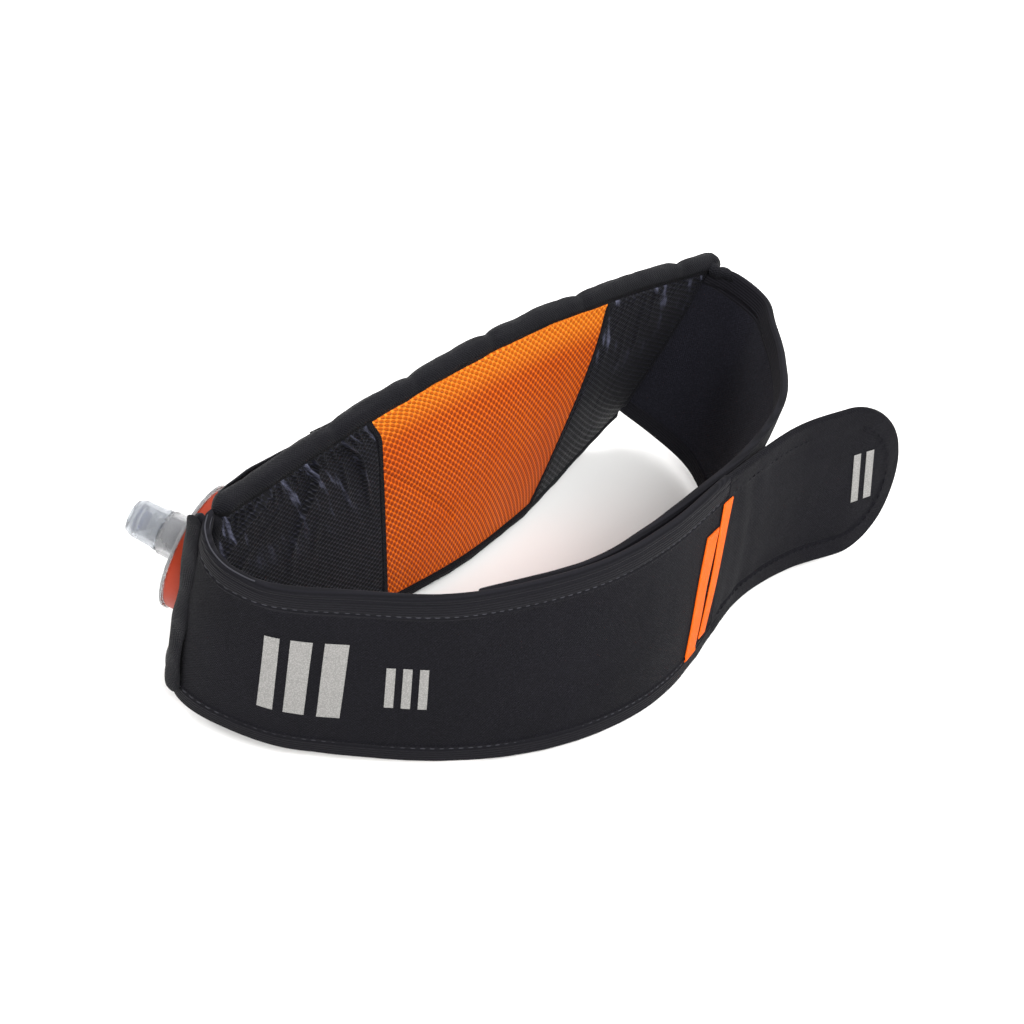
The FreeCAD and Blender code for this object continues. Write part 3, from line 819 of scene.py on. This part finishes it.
LARGE_SPANS = [(3.60, 3.86, 0.30), (4.02, 4.32, 0.30), (4.50, 4.80, 0.26)]
SMALL_SPANS = [(5.34, 5.44, 0.10), (5.52, 5.62, 0.10), (5.70, 5.80, 0.10)]
for piece in bars("print_large_bar", left_wall, LARGE_SPANS, 0.25, 0.70, 0.06, "pack", left_relief):
    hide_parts("print_large")
for piece in bars("print_small_bar", left_wall, SMALL_SPANS, 0.34, 0.58, 0.06, "left_wing", left_relief):
    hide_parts("print_small")


def over_tab_joint(obj):
    """Bake the transform of a piece that lies between the left wing and the closure tab."""
    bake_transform(obj)


def ribbon_sway(amount):
    """Sideways bow of a ribbon, in stations, largest at mid height."""
    return lambda v: amount * bump(v, 0.5, 0.33)


ribbon_a = strip_on("left_ribbon", left_wall, (9.380, 9.725), (9.585, 9.955), 0.085, 0.745, 0.1, 0.9,
                    "ribbon", 8, 44, ribbon_sway(-0.012), left_relief)
ribbon_b = strip_on("right_ribbon", left_wall, (9.645, 9.945), (9.772, 10.137), 0.13, 0.862, 0.15, 0.9,
                    "ribbon", 8, 44, ribbon_sway(0.035), left_relief)
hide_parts("ribbon_left")
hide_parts("ribbon_right")
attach(ribbon_a, "left_wing")
over_tab_joint(ribbon_b)


# ---- closure tab ----
TAB_X, TAB_Z, TAB_R = 119.5, 37.0, 34.0        # centre and radius of the round end
TAB_START, TAB_PITCH = 31.0, 28.0              # layout x of the first station, mean distance of two
WING_AT_TAB, TAB_RISE = 78.0, 2.3              # wing height by the tab, its foot above the wing's
ROUND_STEPS = (3, 6, 9, 12, 16, 20, 24, 28, 32, 36, 40, 44, 48, 52, 56, 60, 63, 66, 69, 72, 74.5, 77, 79, 81,
               83, 84.6, 86, 87.2, 88.2, 89, 89.6)


def tab_limits(x, inset):
    """Lowest and highest z of the tab at a layout x."""
    r = TAB_R - inset
    if x > TAB_X:
        half = math.sqrt(max(0.0, r * r - (x - TAB_X) ** 2))
        return TAB_Z - half, TAB_Z + half
    t = x / TAB_X
    return mix(inset + 2.0, TAB_Z - r, t), mix(WING_HIGH - inset, TAB_Z + r, t)


def on_tab(x, z, depth):
    """Point of the tab wall at a layout x and z."""
    u = (x - TAB_START) / TAB_PITCH
    for _ in range(9):
        foot, head = catmull(tab_wall.feet, u), catmull(tab_wall.heads, u)
        share = (z + SHIFT.z - foot.z) / (head.z - foot.z)
        u += (x - mix(foot.x, head.x, share) + SHIFT.x) / TAB_PITCH
    return tab_wall.at(u, u, share, depth)


def tab_slab(name, start, inset, front, back, look, edge, ends):
    """Piece with the tab's rounded outline, drawn in by inset."""
    r = TAB_R - inset
    rows = steps(90, start, TAB_X)
    rows += [TAB_X + r * math.sin(math.radians(angle)) for angle in ROUND_STEPS]

    def position(x, v):
        low, high = tab_limits(x, inset)
        return x + (v - 0.5) * max(0.0, 1 - (x - start) / 20) * (not inset), mix(low, high, v)

    def point(x, v, depth):
        return on_tab(*position(x, v), depth)

    def room_at(x, v):
        low, high = tab_limits(x, inset)
        z = mix(low, high, v)
        if x <= TAB_X:
            return max(0.0, min(z - low, high - z))
        return max(0.0, r - math.hypot(x - TAB_X, z - TAB_Z))

    return slab(name, point, rows, heights(75.0, 11.0, 11.0, 2.2), front, back, look, edge, ends,
                room_at=room_at)


def tab_front(s, z, room):
    """Smooth border with a sewn step, the core a little fuller, upright wrinkles by the ribbons."""
    d = 0.4 * smooth(9.6, 8.8, room) - 0.45 * bump(room, 9.3, 0.5) + 0.45 * smooth(9.5, 22.0, room)
    d += 0.6 * wobble(s * 0.03, z * 0.03, 31.0) + 0.2 * wobble(s * 0.1, z * 0.1, 33.0)
    near = smooth(62.0, 18.0, s) * smooth(2.0, 12.0, s) * smooth(2.0, 12.0, room)
    fold = math.sin(s * 0.34 + z * 0.05 + 2.6 * wobble(z * 0.02, s * 0.03, 3.0))
    d += near * (0.34 * fold + 0.4 * wobble(s * 0.12, z * 0.03, 37.0))
    wing = left_face(left_length + s, z + TAB_RISE, WING_AT_TAB)
    return mix(wing, d, smooth(0.0, 16.0, s))


def tab_back(s, z, room):
    """Inner face of the tab, growing out of the wing's."""
    d = -CLOTH - 0.3 * smooth(9.6, 8.8, room) + 0.3 * bump(room, 9.3, 0.5)
    d += 0.25 * wobble(s * 0.04, z * 0.04, 41.0)
    return mix(wing_back(left_length + s, z + TAB_RISE, WING_AT_TAB), d, smooth(0.0, 16.0, s))


tab_skin = tab_slab("tab_skin", 30.96, 0.0, tab_front, tab_back, "wing", 1.6, (0, 0))
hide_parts("tab_panel", "tab_border")
over_tab_joint(tab_skin)
hook_field = tab_slab("tab_hook_field", 64.0, 13.0, lambda s, z, room: -CLOTH - 0.25,
                      lambda s, z, room: -CLOTH - 1.15 - 0.1 * wobble(s, z), "hook", 0.7, (0.8, 0))
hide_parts("tab_hook_patch")
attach(hook_field, "tab")


def tab_round(t):
    """Stitch line inside the tab's edge."""
    inset = 8.2
    r = TAB_R - inset
    straight, arc = 84.0, math.pi * r
    s = t * (2 * straight + arc)
    if s < straight:
        x = TAB_X - straight + s
        z = tab_limits(x, inset)[1]
    elif s < straight + arc:
        angle = math.pi / 2 - (s - straight) / r
        x, z = TAB_X + r * math.cos(angle), TAB_Z + r * math.sin(angle)
    else:
        x = TAB_X - (s - straight - arc)
        z = tab_limits(x, inset)[0]
    point = on_tab(x, z, 0.35)
    return point, on_tab(x, z, 1.35) - point


over_tab_joint(stitches("tab_stitches", tab_round, "dark_thread"))
TAB_SPANS = [(3.05, 3.22, 0.22), (3.36, 3.56, 0.22)]
for piece in bars("tab_print_bar", tab_wall, TAB_SPANS, 0.36, 0.66, 0.55, "tab"):
    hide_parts("tab_print")


# ---- back panel ----
LOW_V, HIGH_V = 0.047, 0.928      # shares of the panel's height where its cloth starts and ends
PANEL_LONG = 281.0                # length of the panel, mm


def left_seam(v):
    """Panel share of the seam left of the orange mesh, flaring below the binding."""
    flare = 4.5 * smooth(0.78, 0.935, v) ** 2
    return mix(panel_share(-61.5, 0), panel_share(-73, 1), v) - flare / PANEL_LONG


def right_seam(v):
    """Panel share of the seam right of the orange mesh, bowed outwards."""
    bow = 8.0 * arch(v / 0.95)
    return mix(panel_share(31, 0), panel_share(72, 1), v) + bow / PANEL_LONG


def between(low, high, gap_low=0.0, gap_high=0.0):
    """Point function of the panel between two share curves, drawn in by gaps in mm."""
    def point(t, v, depth):
        share = mix(low(v) + gap_low / PANEL_LONG, high(v) - gap_high / PANEL_LONG, t)
        return panel_point(share, v, depth)
    return point


def panel_heights(coarse):
    """Shares of the panel's height between its two bindings, coarse mm apart."""
    return [mix(LOW_V, HIGH_V, v) for v in heights(88.0, 2.0, 2.0, coarse)]


def center_front(s, z, high):
    """Mesh stretched towards the wearer, with a faint crease from its lower left corner."""
    top = 0.93 * high - z
    d = -0.9 * arch(z / (0.93 * high))
    d -= 0.35 * wobble(s * 0.03, z * 0.04, 51.0)
    crease = abs(z - 62.0 + 0.9 * s) if s < 44 else 99.0
    return d + 0.55 * bump(crease, 0.0, 1.6) - 0.6 * bump(top, 4.5, 3.0)


center = slab("center_air_mesh", between(left_seam, right_seam, 1.0, 1.0), steps(170, ease=0.01),
              panel_heights(1.3), center_front, lambda s, z, h: 1.5, "orange", 0.6,
              (0.6, 0.6))
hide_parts("center_mesh")


def gather(origin_s, seed, strength):
    """Inner face of a side mesh: folds fanning down from a gathered top edge."""
    def front(s, z, high):
        top = max(0.0, 0.885 * high - z)
        angle = math.atan2(s - origin_s, top + 30.0)
        wave = math.sin(angle * 34.0 + 5.0 * wobble(s * 0.035, z * 0.02, seed))
        fold = max(0.0, wave) ** 2 * smooth(-0.05, 0.4, wobble(angle * 5.0 + seed, seed, top * 0.015))
        small = max(0.0, math.sin(s * 1.5 + 4.0 * wobble(s * 0.1, z * 0.05, seed + 5)))
        fold += 0.35 * small * math.exp(-(top / 7.0) ** 2)
        reach = math.exp(-(top / (26.0 + 18.0 * abs(wobble(angle * 9.0, seed)))) ** 2) * smooth(0.0, 2.0, top)
        d = -0.4 - strength * fold * reach
        d -= 0.9 * arch(z / (0.885 * high))
        return d - 0.5 * wobble(s * 0.05, z * 0.05, seed + 3) - 0.18 * wobble(s * 0.3, z * 0.16, seed + 7)
    return front


SIDE_MESHES = (
    ("left_side_mesh", "side_mesh_left", lambda v: 0.004, left_seam, (0.0, 1.2), gather(64.0, 61.0, 3.4)),
    ("right_side_mesh", "side_mesh_right", right_seam, lambda v: 0.997, (1.2, 0.0), gather(18.0, 71.0, 1.6)))
for name, node, low, high, gaps, front in SIDE_MESHES:
    obj = slab(name, between(low, high, *gaps), steps(150, ease=0.01), panel_heights(1.0), front,
               lambda s, z, h: 1.5, "knit", 0.6, (0.6, 0.6))
    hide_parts(node)
    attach(obj, "pack")
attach(center, "pack")

for name, seam in (("left_seam_band", left_seam), ("right_seam_band", right_seam)):
    def band_point(t, v, depth, seam=seam):
        return panel_point(seam(v) + mix(-1.7, 1.7, t) / PANEL_LONG, v, depth)
    band = slab(name, band_point, steps(6), panel_heights(1.4),
                lambda s, z, h: -1.0 - 0.12 * wobble(z * 0.4, s), lambda s, z, h: 1.4,
                "binding", 0.7, (0.7, 0.7))
    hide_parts("seam_tapes")
    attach(band, "pack")
    for side in (-0.9, 0.9):
        def seam_line(t, seam=seam, side=side):
            v = mix(LOW_V + 0.02, HIGH_V - 0.02, t)
            share = seam(v) + side / PANEL_LONG
            point = panel_point(share, v, -1.0)
            return point, panel_point(share, v, -2.0) - point
        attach(stitches(name + ("_a" if side < 0 else "_b"), seam_line, "dark_thread",
                         1.8, 1.0, 0.2), "pack")

pad = slab("back_pad", panel_point, steps(90), panel_heights(3.0),
           lambda s, z, h: 1.7, lambda s, z, h: 4.6 + 0.2 * math.sin(math.pi * z / (h * 0.9))
           + 0.2 * wobble(s * 0.05, z * 0.05, 81.0), "pad", 1.2, (1.2, 1.2))
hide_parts("back_foam")
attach(pad, "pack")


def rim(name, node, v, depth, across, tall, kinks=(), reach=0.0):
    """Folded binding rolled round an edge of the back panel, pinched at its kinks."""
    path, radii = [], []
    rings, end = 240, 1.0 + reach / PANEL_LONG
    for i in range(rings + 1):
        share = mix(0.0, end, i / rings)
        pinch = sum(bump(share, at, 0.012) for at in kinks)
        ripple = 0.45 * wobble(share * 22, 4.0, v * 9) + 0.25 * wobble(share * 60, 8.0)
        past = max(0.0, share - 1) * PANEL_LONG
        point = panel_point(share, v, depth) + Vector((0, 0, ripple - 0.8 * pinch * (1 if v > 0.5 else 0)))
        point += Vector((0.88, -0.42, -0.06 * past)) * past
        close = math.sqrt(max(0.03, min(1.0, min(share, end - share) * 60)))
        path.append(point)
        radii.append((across * (1 - 0.14 * pinch + 0.05 * wobble(share * 30, 1.0)) * close,
                      tall * (1 - 0.1 * pinch) * close))
    obj = tube(name, path, radii, "binding", 20, 0.11)
    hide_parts(node)
    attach(obj, "pack")
    return obj


top_rim = rim("top_rim", "top_binding", 0.962, 2.4, 4.0, 4.6, (0.21, 0.36, 0.51, 0.7, 0.93), 7.0)
low_rim = rim("low_rim", "bottom_binding", 0.029, 2.2, 3.2, 2.7)


def tapered(t, across, tall):
    """Half sizes of a roll that closes at both ends."""
    close = math.sqrt(max(0.04, min(1.0, 36 * min(t, 1 - t))))
    return across * close, tall * close


# ---- bag ----
class Shell:
    """Curved fabric from the panel's head round to its foot: t along X, v from head to foot."""

    def __init__(self, foot_range, head_range, depth, low, high):
        self.feet, self.heads, self.depth, self.low, self.high = foot_range, head_range, depth, low, high
        self.cache = {}

    def section(self, t):
        if t in self.cache:
            return self.cache[t]
        foot_x, head_x = mix(*self.feet, t), mix(*self.heads, t)
        taper = clip((head_x - 66.0) / 68.0)
        foot = catmull([Vector(p) for p in PANEL_FOOT], lookup(foot_stations, panel_share(foot_x, 0)))
        foot_y, foot_z = foot.y + 6.0 - taper, foot.z + 1.2
        head_y, head_z = 46.2 - 3.8 * taper, 89.5 - 13.0 * taper
        depth = self.depth * (1 - taper ** 1.5) + 2.5 * taper
        rise = head_z - foot_z
        shape = [(0, 1.0), (0.36, 0.85), (0.72, 0.70), (0.95, 0.52), (1.0, 0.34), (0.86, 0.13), (0.55, 0.0)]
        points = [Vector((0, head_y + depth * d, foot_z + rise * z)) for d, z in shape]
        points.append(Vector((0, foot_y, foot_z)))
        self.cache[t] = (points, foot_x, head_x, foot_z, rise)
        return self.cache[t]

    def at(self, t, v, out):
        points, foot_x, head_x, foot_z, rise = self.section(t)
        last = len(points) - 1
        u = last * mix(self.low, self.high, v)
        point = catmull(points, u)
        ahead = (catmull(points, min(u + 0.05, last)) - catmull(points, max(u - 0.05, 0))).normalized()
        point = point + Vector((0, -ahead.z, ahead.y)) * out
        point.x = foot_x + (head_x - foot_x) * (point.z - foot_z) / rise
        return point + SHIFT

    def share_at_z(self, t, z):
        return last_below(0.0, 0.6, lambda v: self.at(t, v, 0).z - SHIFT.z > z, 24)

    def t_at_x(self, x, z):
        return last_below(0.0, 1.0, lambda t: self.at(t, self.share_at_z(t, z), 0).x - SHIFT.x < x, 24)


shell = Shell((MOUTH_X, 107.0), (MOUTH_X, 134.0), 26.5, 0.0, 1.0)
SLOT_LOW, SLOT_HIGH = 0.2, 0.28                # shares of the shell's grid at the zip slot's edges
SLOT_HALF = 2.2                                # half height of the slot, mm
SLOT_ROWS, SLOT_COLUMNS = (10, 120), (14, 18)  # grid lines at the slot's ends and edges
SHELL_LONG = 225.0                             # length of the shell, mm
slot_shares = {}


def shell_point(t, v, out):
    """Outer shell with its grid lines drawn along the zip slot."""
    if t not in slot_shares:
        slot_shares[t] = (shell.share_at_z(t, ZIP_Z + SLOT_HALF), shell.share_at_z(t, ZIP_Z - SLOT_HALF))
    upper, lower = slot_shares[t]
    if v < SLOT_LOW:
        v = upper * v / SLOT_LOW
    elif v < SLOT_HIGH:
        v = mix(upper, lower, (v - SLOT_LOW) / (SLOT_HIGH - SLOT_LOW))
    else:
        v = mix(lower, 1.0, (v - SLOT_HIGH) / (1 - SLOT_HIGH))
    return shell.at(t, v, out)


def shell_face(s, z, high):
    """Stretched fabric: soft hollows and folds running down from the zip."""
    v = z / high
    calm = 1 - bump(v, 0.24, 0.09)
    d = 1.5 * wobble(s * 0.016, v * 2.4, 91.0) * calm + 0.7 * wobble(s * 0.05, v * 3.0, 95.0) * calm
    fold = math.sin(s * 0.11 + v * 5.0 + 2.0 * wobble(s * 0.02, v * 2.0, 97.0))
    d += 0.7 * max(0.0, fold) ** 3 * bump(v, 0.55, 0.3)
    return d * smooth(0.0, 0.08, v) * smooth(1.0, 0.92, v) * smooth(0.0, 8.0, s)


t_in, t_out = shell.t_at_x(ZIP_ENDS[0], ZIP_Z), shell.t_at_x(ZIP_ENDS[1], ZIP_Z)
shell_rows = steps(10, 0.0, t_in)[:-1] + steps(110, t_in, t_out)[:-1] + steps(60, t_out, 1.0)
shell_shares = steps(14, 0.0, SLOT_LOW)[:-1] + steps(4, SLOT_LOW, SLOT_HIGH)[:-1]
shell_shares += steps(70, SLOT_HIGH, 1.0)
outer = slab("outer_shell_cloth", shell_point, shell_rows, shell_shares, shell_face,
             lambda s, z, h: shell_face(s, z, h) - 0.9, "fabric", 0.6, (0.6, 0.6),
             hole=SLOT_ROWS + SLOT_COLUMNS)
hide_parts("outer_shell")
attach(outer, "pack")


def zip_line(v):
    """Stitch line on the outer shell beside the zip."""
    def line(t):
        at = mix(t_in, t_out, t)
        rise = shell_face(SHELL_LONG * at, v, 1.0)
        point = shell_point(at, v, rise + 0.1)
        return point, shell_point(at, v, rise + 1.1) - point
    return line


for name, v in (("zip_stitches_upper", 0.175), ("zip_stitches_lower", 0.305)):
    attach(stitches(name, zip_line(v), "thread", 2.2, 1.3, 0.24), "pack")
sleeve = Shell((MOUTH_X + 0.3, 84.0), (MOUTH_X + 0.3, 98.0), 19.5, 0.2, 0.77)
inner = slab("sleeve_cloth", sleeve.at, steps(70), steps(40),
             lambda s, z, h: 0.3 * wobble(s * 0.03, z * 0.05, 101.0), lambda s, z, h: -0.9
             + 0.3 * wobble(s * 0.03, z * 0.05, 101.0), "fabric", 0.5, (0.5, 0.5))
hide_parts("sleeve_wall")
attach(inner, "pack")
mouth = Shell((MOUTH_X - 1.2, MOUTH_X), (MOUTH_X - 1.2, MOUTH_X), 26.4, 0.0, 1.0)
mouth_path = [mouth.at(0.0, v, -0.5) for v in steps(90, 0.07)]
mouth_sizes = [tapered(t, 1.9, 1.5) for t in steps(90)]
mouth_rim = tube("mouth_rim", mouth_path, mouth_sizes, "binding", 14, 0.08,
                 Vector((1, 0, 0)))
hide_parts("sleeve_mouth_binding")
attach(mouth_rim, "pack")
hood = Shell((-144.0, MOUTH_X - 1.0), (-144.0, MOUTH_X - 1.0), 19.0, 0.0, 0.13)


def hood_face(s, z, high):
    return 0.5 * wobble(s * 0.07, z * 0.1, 111.0) - 0.8 * smooth(12.0, 0.0, s)


def hood_point(t, v, out):
    """Tunnel over the flask's neck, puffed up and closing down to the panel at its left end."""
    puff = math.sqrt(math.sin(math.pi * mix(0.04, 0.86, t)))
    reach = mix(0.45, 1.0, smooth(0.0, 0.35, t))
    return hood.at(t, v * reach, out) + Vector((0, -3.0 * (1 - v), 6.0 * (1 - 0.5 * v))) * puff


hood_cloth = slab("hood_cloth", hood_point, steps(50), steps(16), hood_face,
                  lambda s, z, h: hood_face(s, z, h) - 1.0, "fabric", 0.6, (0.8, 0.5))
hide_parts("sleeve_hood")
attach(hood_cloth, "pack")


# ---- straps and rolled edges ----
def edge_tube(name, point, sizes, count, look, lumps, hint, *nodes):
    """Rolled edge along point(t), with its half sizes from sizes(t)."""
    path, radii = [point(t) for t in steps(count)], [sizes(t) for t in steps(count)]
    obj = tube(name, path, radii, look, 16, lumps, hint)
    if nodes:
        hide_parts(*nodes)
    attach(obj, "pack")


WALL_WAY = Vector((0.1, 1.0, 0.0))
edge_tube(
    "end_strap_outer",
    lambda t: left_wall.at(1.15 - 0.5 * t, 1.0 - 0.5 * t, mix(0.04, 1.0, t),
                           1.9 + 1.3 * t + 0.5 * math.sin(t * 7.0)),
    lambda t: tapered(t, 3.4 + 0.7 * t + 0.5 * math.sin(t * 19), 1.3 + 0.25 * math.sin(t * 31)),
    80, "binding", 0.1, WALL_WAY, "end_gusset")
edge_tube(
    "end_strap_inner",
    lambda t: left_wall.at(0.72 - 0.2 * t, 0.62 - 0.3 * t, mix(0.1, 1.0, t), 1.8 + 0.5 * math.sin(t * 11.0)),
    lambda t: tapered(t, 3.2 + 0.5 * math.sin(t * 23), 1.6), 80, "fabric", 0.1, WALL_WAY)
edge_tube(
    "panel_end_left", lambda t: panel_point(0.004, mix(0.03, 0.95, t), 1.6) + Vector((-1.0, 0, 0)),
    lambda t: tapered(t, 3.2 + 0.4 * math.sin(t * 27), 2.6), 70, "binding", 0.1, WALL_WAY)
edge_tube(
    "panel_end_right", lambda t: panel_point(0.998, mix(0.04, 0.97, t), 1.4) + Vector((1.6, -0.4, 0)) * t,
    lambda t: tapered(t, 2.4 + 1.4 * t, 2.6 + t), 70, "binding", 0.1, WALL_WAY)
edge_tube(
    "top_rim_turn", lambda t: right_wall.at(mix(0.0, 0.95, t), mix(0.0, 0.95, t), 0.97, 1.2)
    + Vector((0, 0, 0.5 * math.sin(t * 13))),
    lambda t: tapered(t, 3.0 - 0.9 * t, 3.4 - 1.4 * t), 60, "binding", 0.12, None)
for name, depth, drop in (("left_edge_piping_1", -0.5, 0.1), ("left_edge_piping_2", -2.1, 0.5)):
    path = [left_wall.at(u, u, 1.0, depth) - Vector((0, 0, drop)) for u in steps(120, 0.3, 3.6)]
    piping = tube(name, path, [(0.26, 0.26)] * len(path), "thread", 8)
    over_left_joint(piping)

TILT = math.radians(49)
ZIP_AT = Vector((0, 57.6, 73.5)) + SHIFT
ZIP_UP = Vector((0, math.cos(TILT), -math.sin(TILT)))
ZIP_OUT = Vector((0, math.sin(TILT), math.cos(TILT)))
for node, low, high in (("zip_tape_upper", 0.5, 5.7), ("zip_tape_lower", -5.7, -0.5)):
    def tape_point(t, v, depth, low=low, high=high):
        x = mix(ZIP_ENDS[0], ZIP_ENDS[1], t)
        return ZIP_AT + Vector((x, 0, 0)) + ZIP_UP * mix(low, high, v) + ZIP_OUT * depth
    tape = slab(node + "_cloth", tape_point, steps(90), steps(12),
                lambda s, z, h: -1.0 + 0.1 * wobble(s * 0.1, z),
                lambda s, z, h: -1.6 + 0.1 * wobble(s * 0.1, z),
                "tape", 0.3, (0.3, 0.3))
    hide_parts(node)
    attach(tape, "pack")


# ---- flask ----
# Flask sections from foot to neck: centre x, y, z, height and thickness, mm.
SECTIONS = [(80, 54.3, 41, 44, 3.2), (66, 54.3, 41, 54, 10.5), (20, 54.3, 41, 56, 13.6),
            (-60, 54.3, 41, 56, 13.6), (-90, 54.3, 42, 55, 11.0), (-104, 54.3, 43.5, 53, 5.6),
            (-114, 53.4, 45.5, 51, 3.6), (-126, 50.2, 47.5, 47, 2.9), (-140, 45.9, 49, 41, 2.7),
            (-153, 42.2, 50, 24, 2.4)]
WELD = 1.8                                   # welded rim above and below the film, mm
COLLAR_SEAT, COLLAR_R = 9.7, 21.6            # from the cap's centre to the collar's foot, its radius, mm


def flask_mesh():
    """Soft pouch: welded rim above and below, film creased near the collar."""
    sections = [Vector(section) for section in SECTIONS]
    seat = CAP_CENTRE - CAP_AXIS * COLLAR_SEAT
    verts, uvs = [], []
    rings, around = 150, 56
    for i in range(rings + 1):
        x, y, z, tall, thick = catmull(sections, (len(sections) - 1) * min(i / rings, 0.99999))
        for j in range(around):
            angle = 2 * math.pi * j / around
            up, out = math.sin(angle), math.cos(angle)
            swell = 1 + 0.06 * wobble(x * 0.05, up * 2.0, out * 2.0)
            half = tall / 2 + (WELD if abs(up) > 0.999 else 0)
            point = Vector((x, y + out * thick / 2 * swell, z + up * half))
            crease = smooth(-80.0, -125.0, x) * 0.25 * wobble(x * 0.2, up * 6.0, 3.0)
            point = point + SHIFT + Vector((0, crease, 0))
            ahead = (point - seat).dot(CAP_AXIS)
            if ahead > 0 and (point - seat - CAP_AXIS * ahead).length < COLLAR_R:
                point -= CAP_AXIS * ahead
            verts.append(point)
            uvs.append((x + 160, angle * 20))
    return finish_mesh("flask_film", verts, ring_faces(rings + 1, around), uvs, "film")


pouch = flask_mesh()
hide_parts("flask_pouch")
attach(pouch, "flask")


# ---- studio ----
floor_graph = Graph("studio_floor", Specular_IOR_Level=0.2)
floor_place = floor_graph.place()
floor_tone = floor_graph.noise(floor_place, 3.0, 2.0)
floor_color = floor_graph.blend(floor_tone, "F4F3F1", "FAFAF9")
floor_mat = floor_graph.finish(floor_color, 0.8, floor_graph.noise(floor_place, 300.0, 2.0), 0.00005)
bpy.ops.mesh.primitive_plane_add(size=16, location=(0, 0, -0.0004))
floor = bpy.context.active_object
floor.name = "floor"
floor.data.materials.append(floor_mat)

world = bpy.data.worlds.new("studio_world")
bpy.context.scene.world = world
world.use_nodes = True
background = world.node_tree.nodes["Background"].inputs
background["Color"].default_value = (1.0, 1.0, 1.0, 1.0)
background["Strength"].default_value = 0.9


def area_light(name, location, target, size, power):
    data = bpy.data.lights.new(name, "AREA")
    data.shape, data.size, data.energy = "DISK", size, power
    obj = add_object(name, data)
    obj.location = location
    obj.rotation_euler = (Vector(target) - Vector(location)).to_track_quat("-Z", "Y").to_euler()


area_light("key", (-0.7, -1.0, 1.3), (0, 0, 0.04), 0.9, 31)
area_light("fill", (1.1, -0.7, 0.9), (0, 0, 0.04), 1.0, 9)
area_light("back", (0.2, 1.1, 1.2), (0, 0, 0.04), 0.8, 24)

EYE = Vector((-642.73, -388.50, 624.30)) * MM
LOOK = Vector((0.6711, 0.4129, -0.6157)).normalized()
ROLL = math.radians(14)
level, above = Vector((0.524, -0.8517, 0)), Vector((0.5244, 0.3226, 0.788))
right = (level * math.cos(ROLL) + above * math.sin(ROLL)).normalized()
up = right.cross(LOOK).normalized()
camera_data = bpy.data.cameras.new("camera")
camera_data.lens, camera_data.sensor_width = 84.7, 36
camera_data.clip_start = 0.01
camera = add_object("camera", camera_data)
camera.matrix_world = Matrix(((right.x, up.x, -LOOK.x, EYE.x), (right.y, up.y, -LOOK.y, EYE.y),
                              (right.z, up.z, -LOOK.z, EYE.z), (0, 0, 0, 1)))
bpy.context.scene.camera = camera
bpy.context.scene.view_settings.view_transform = "Standard"
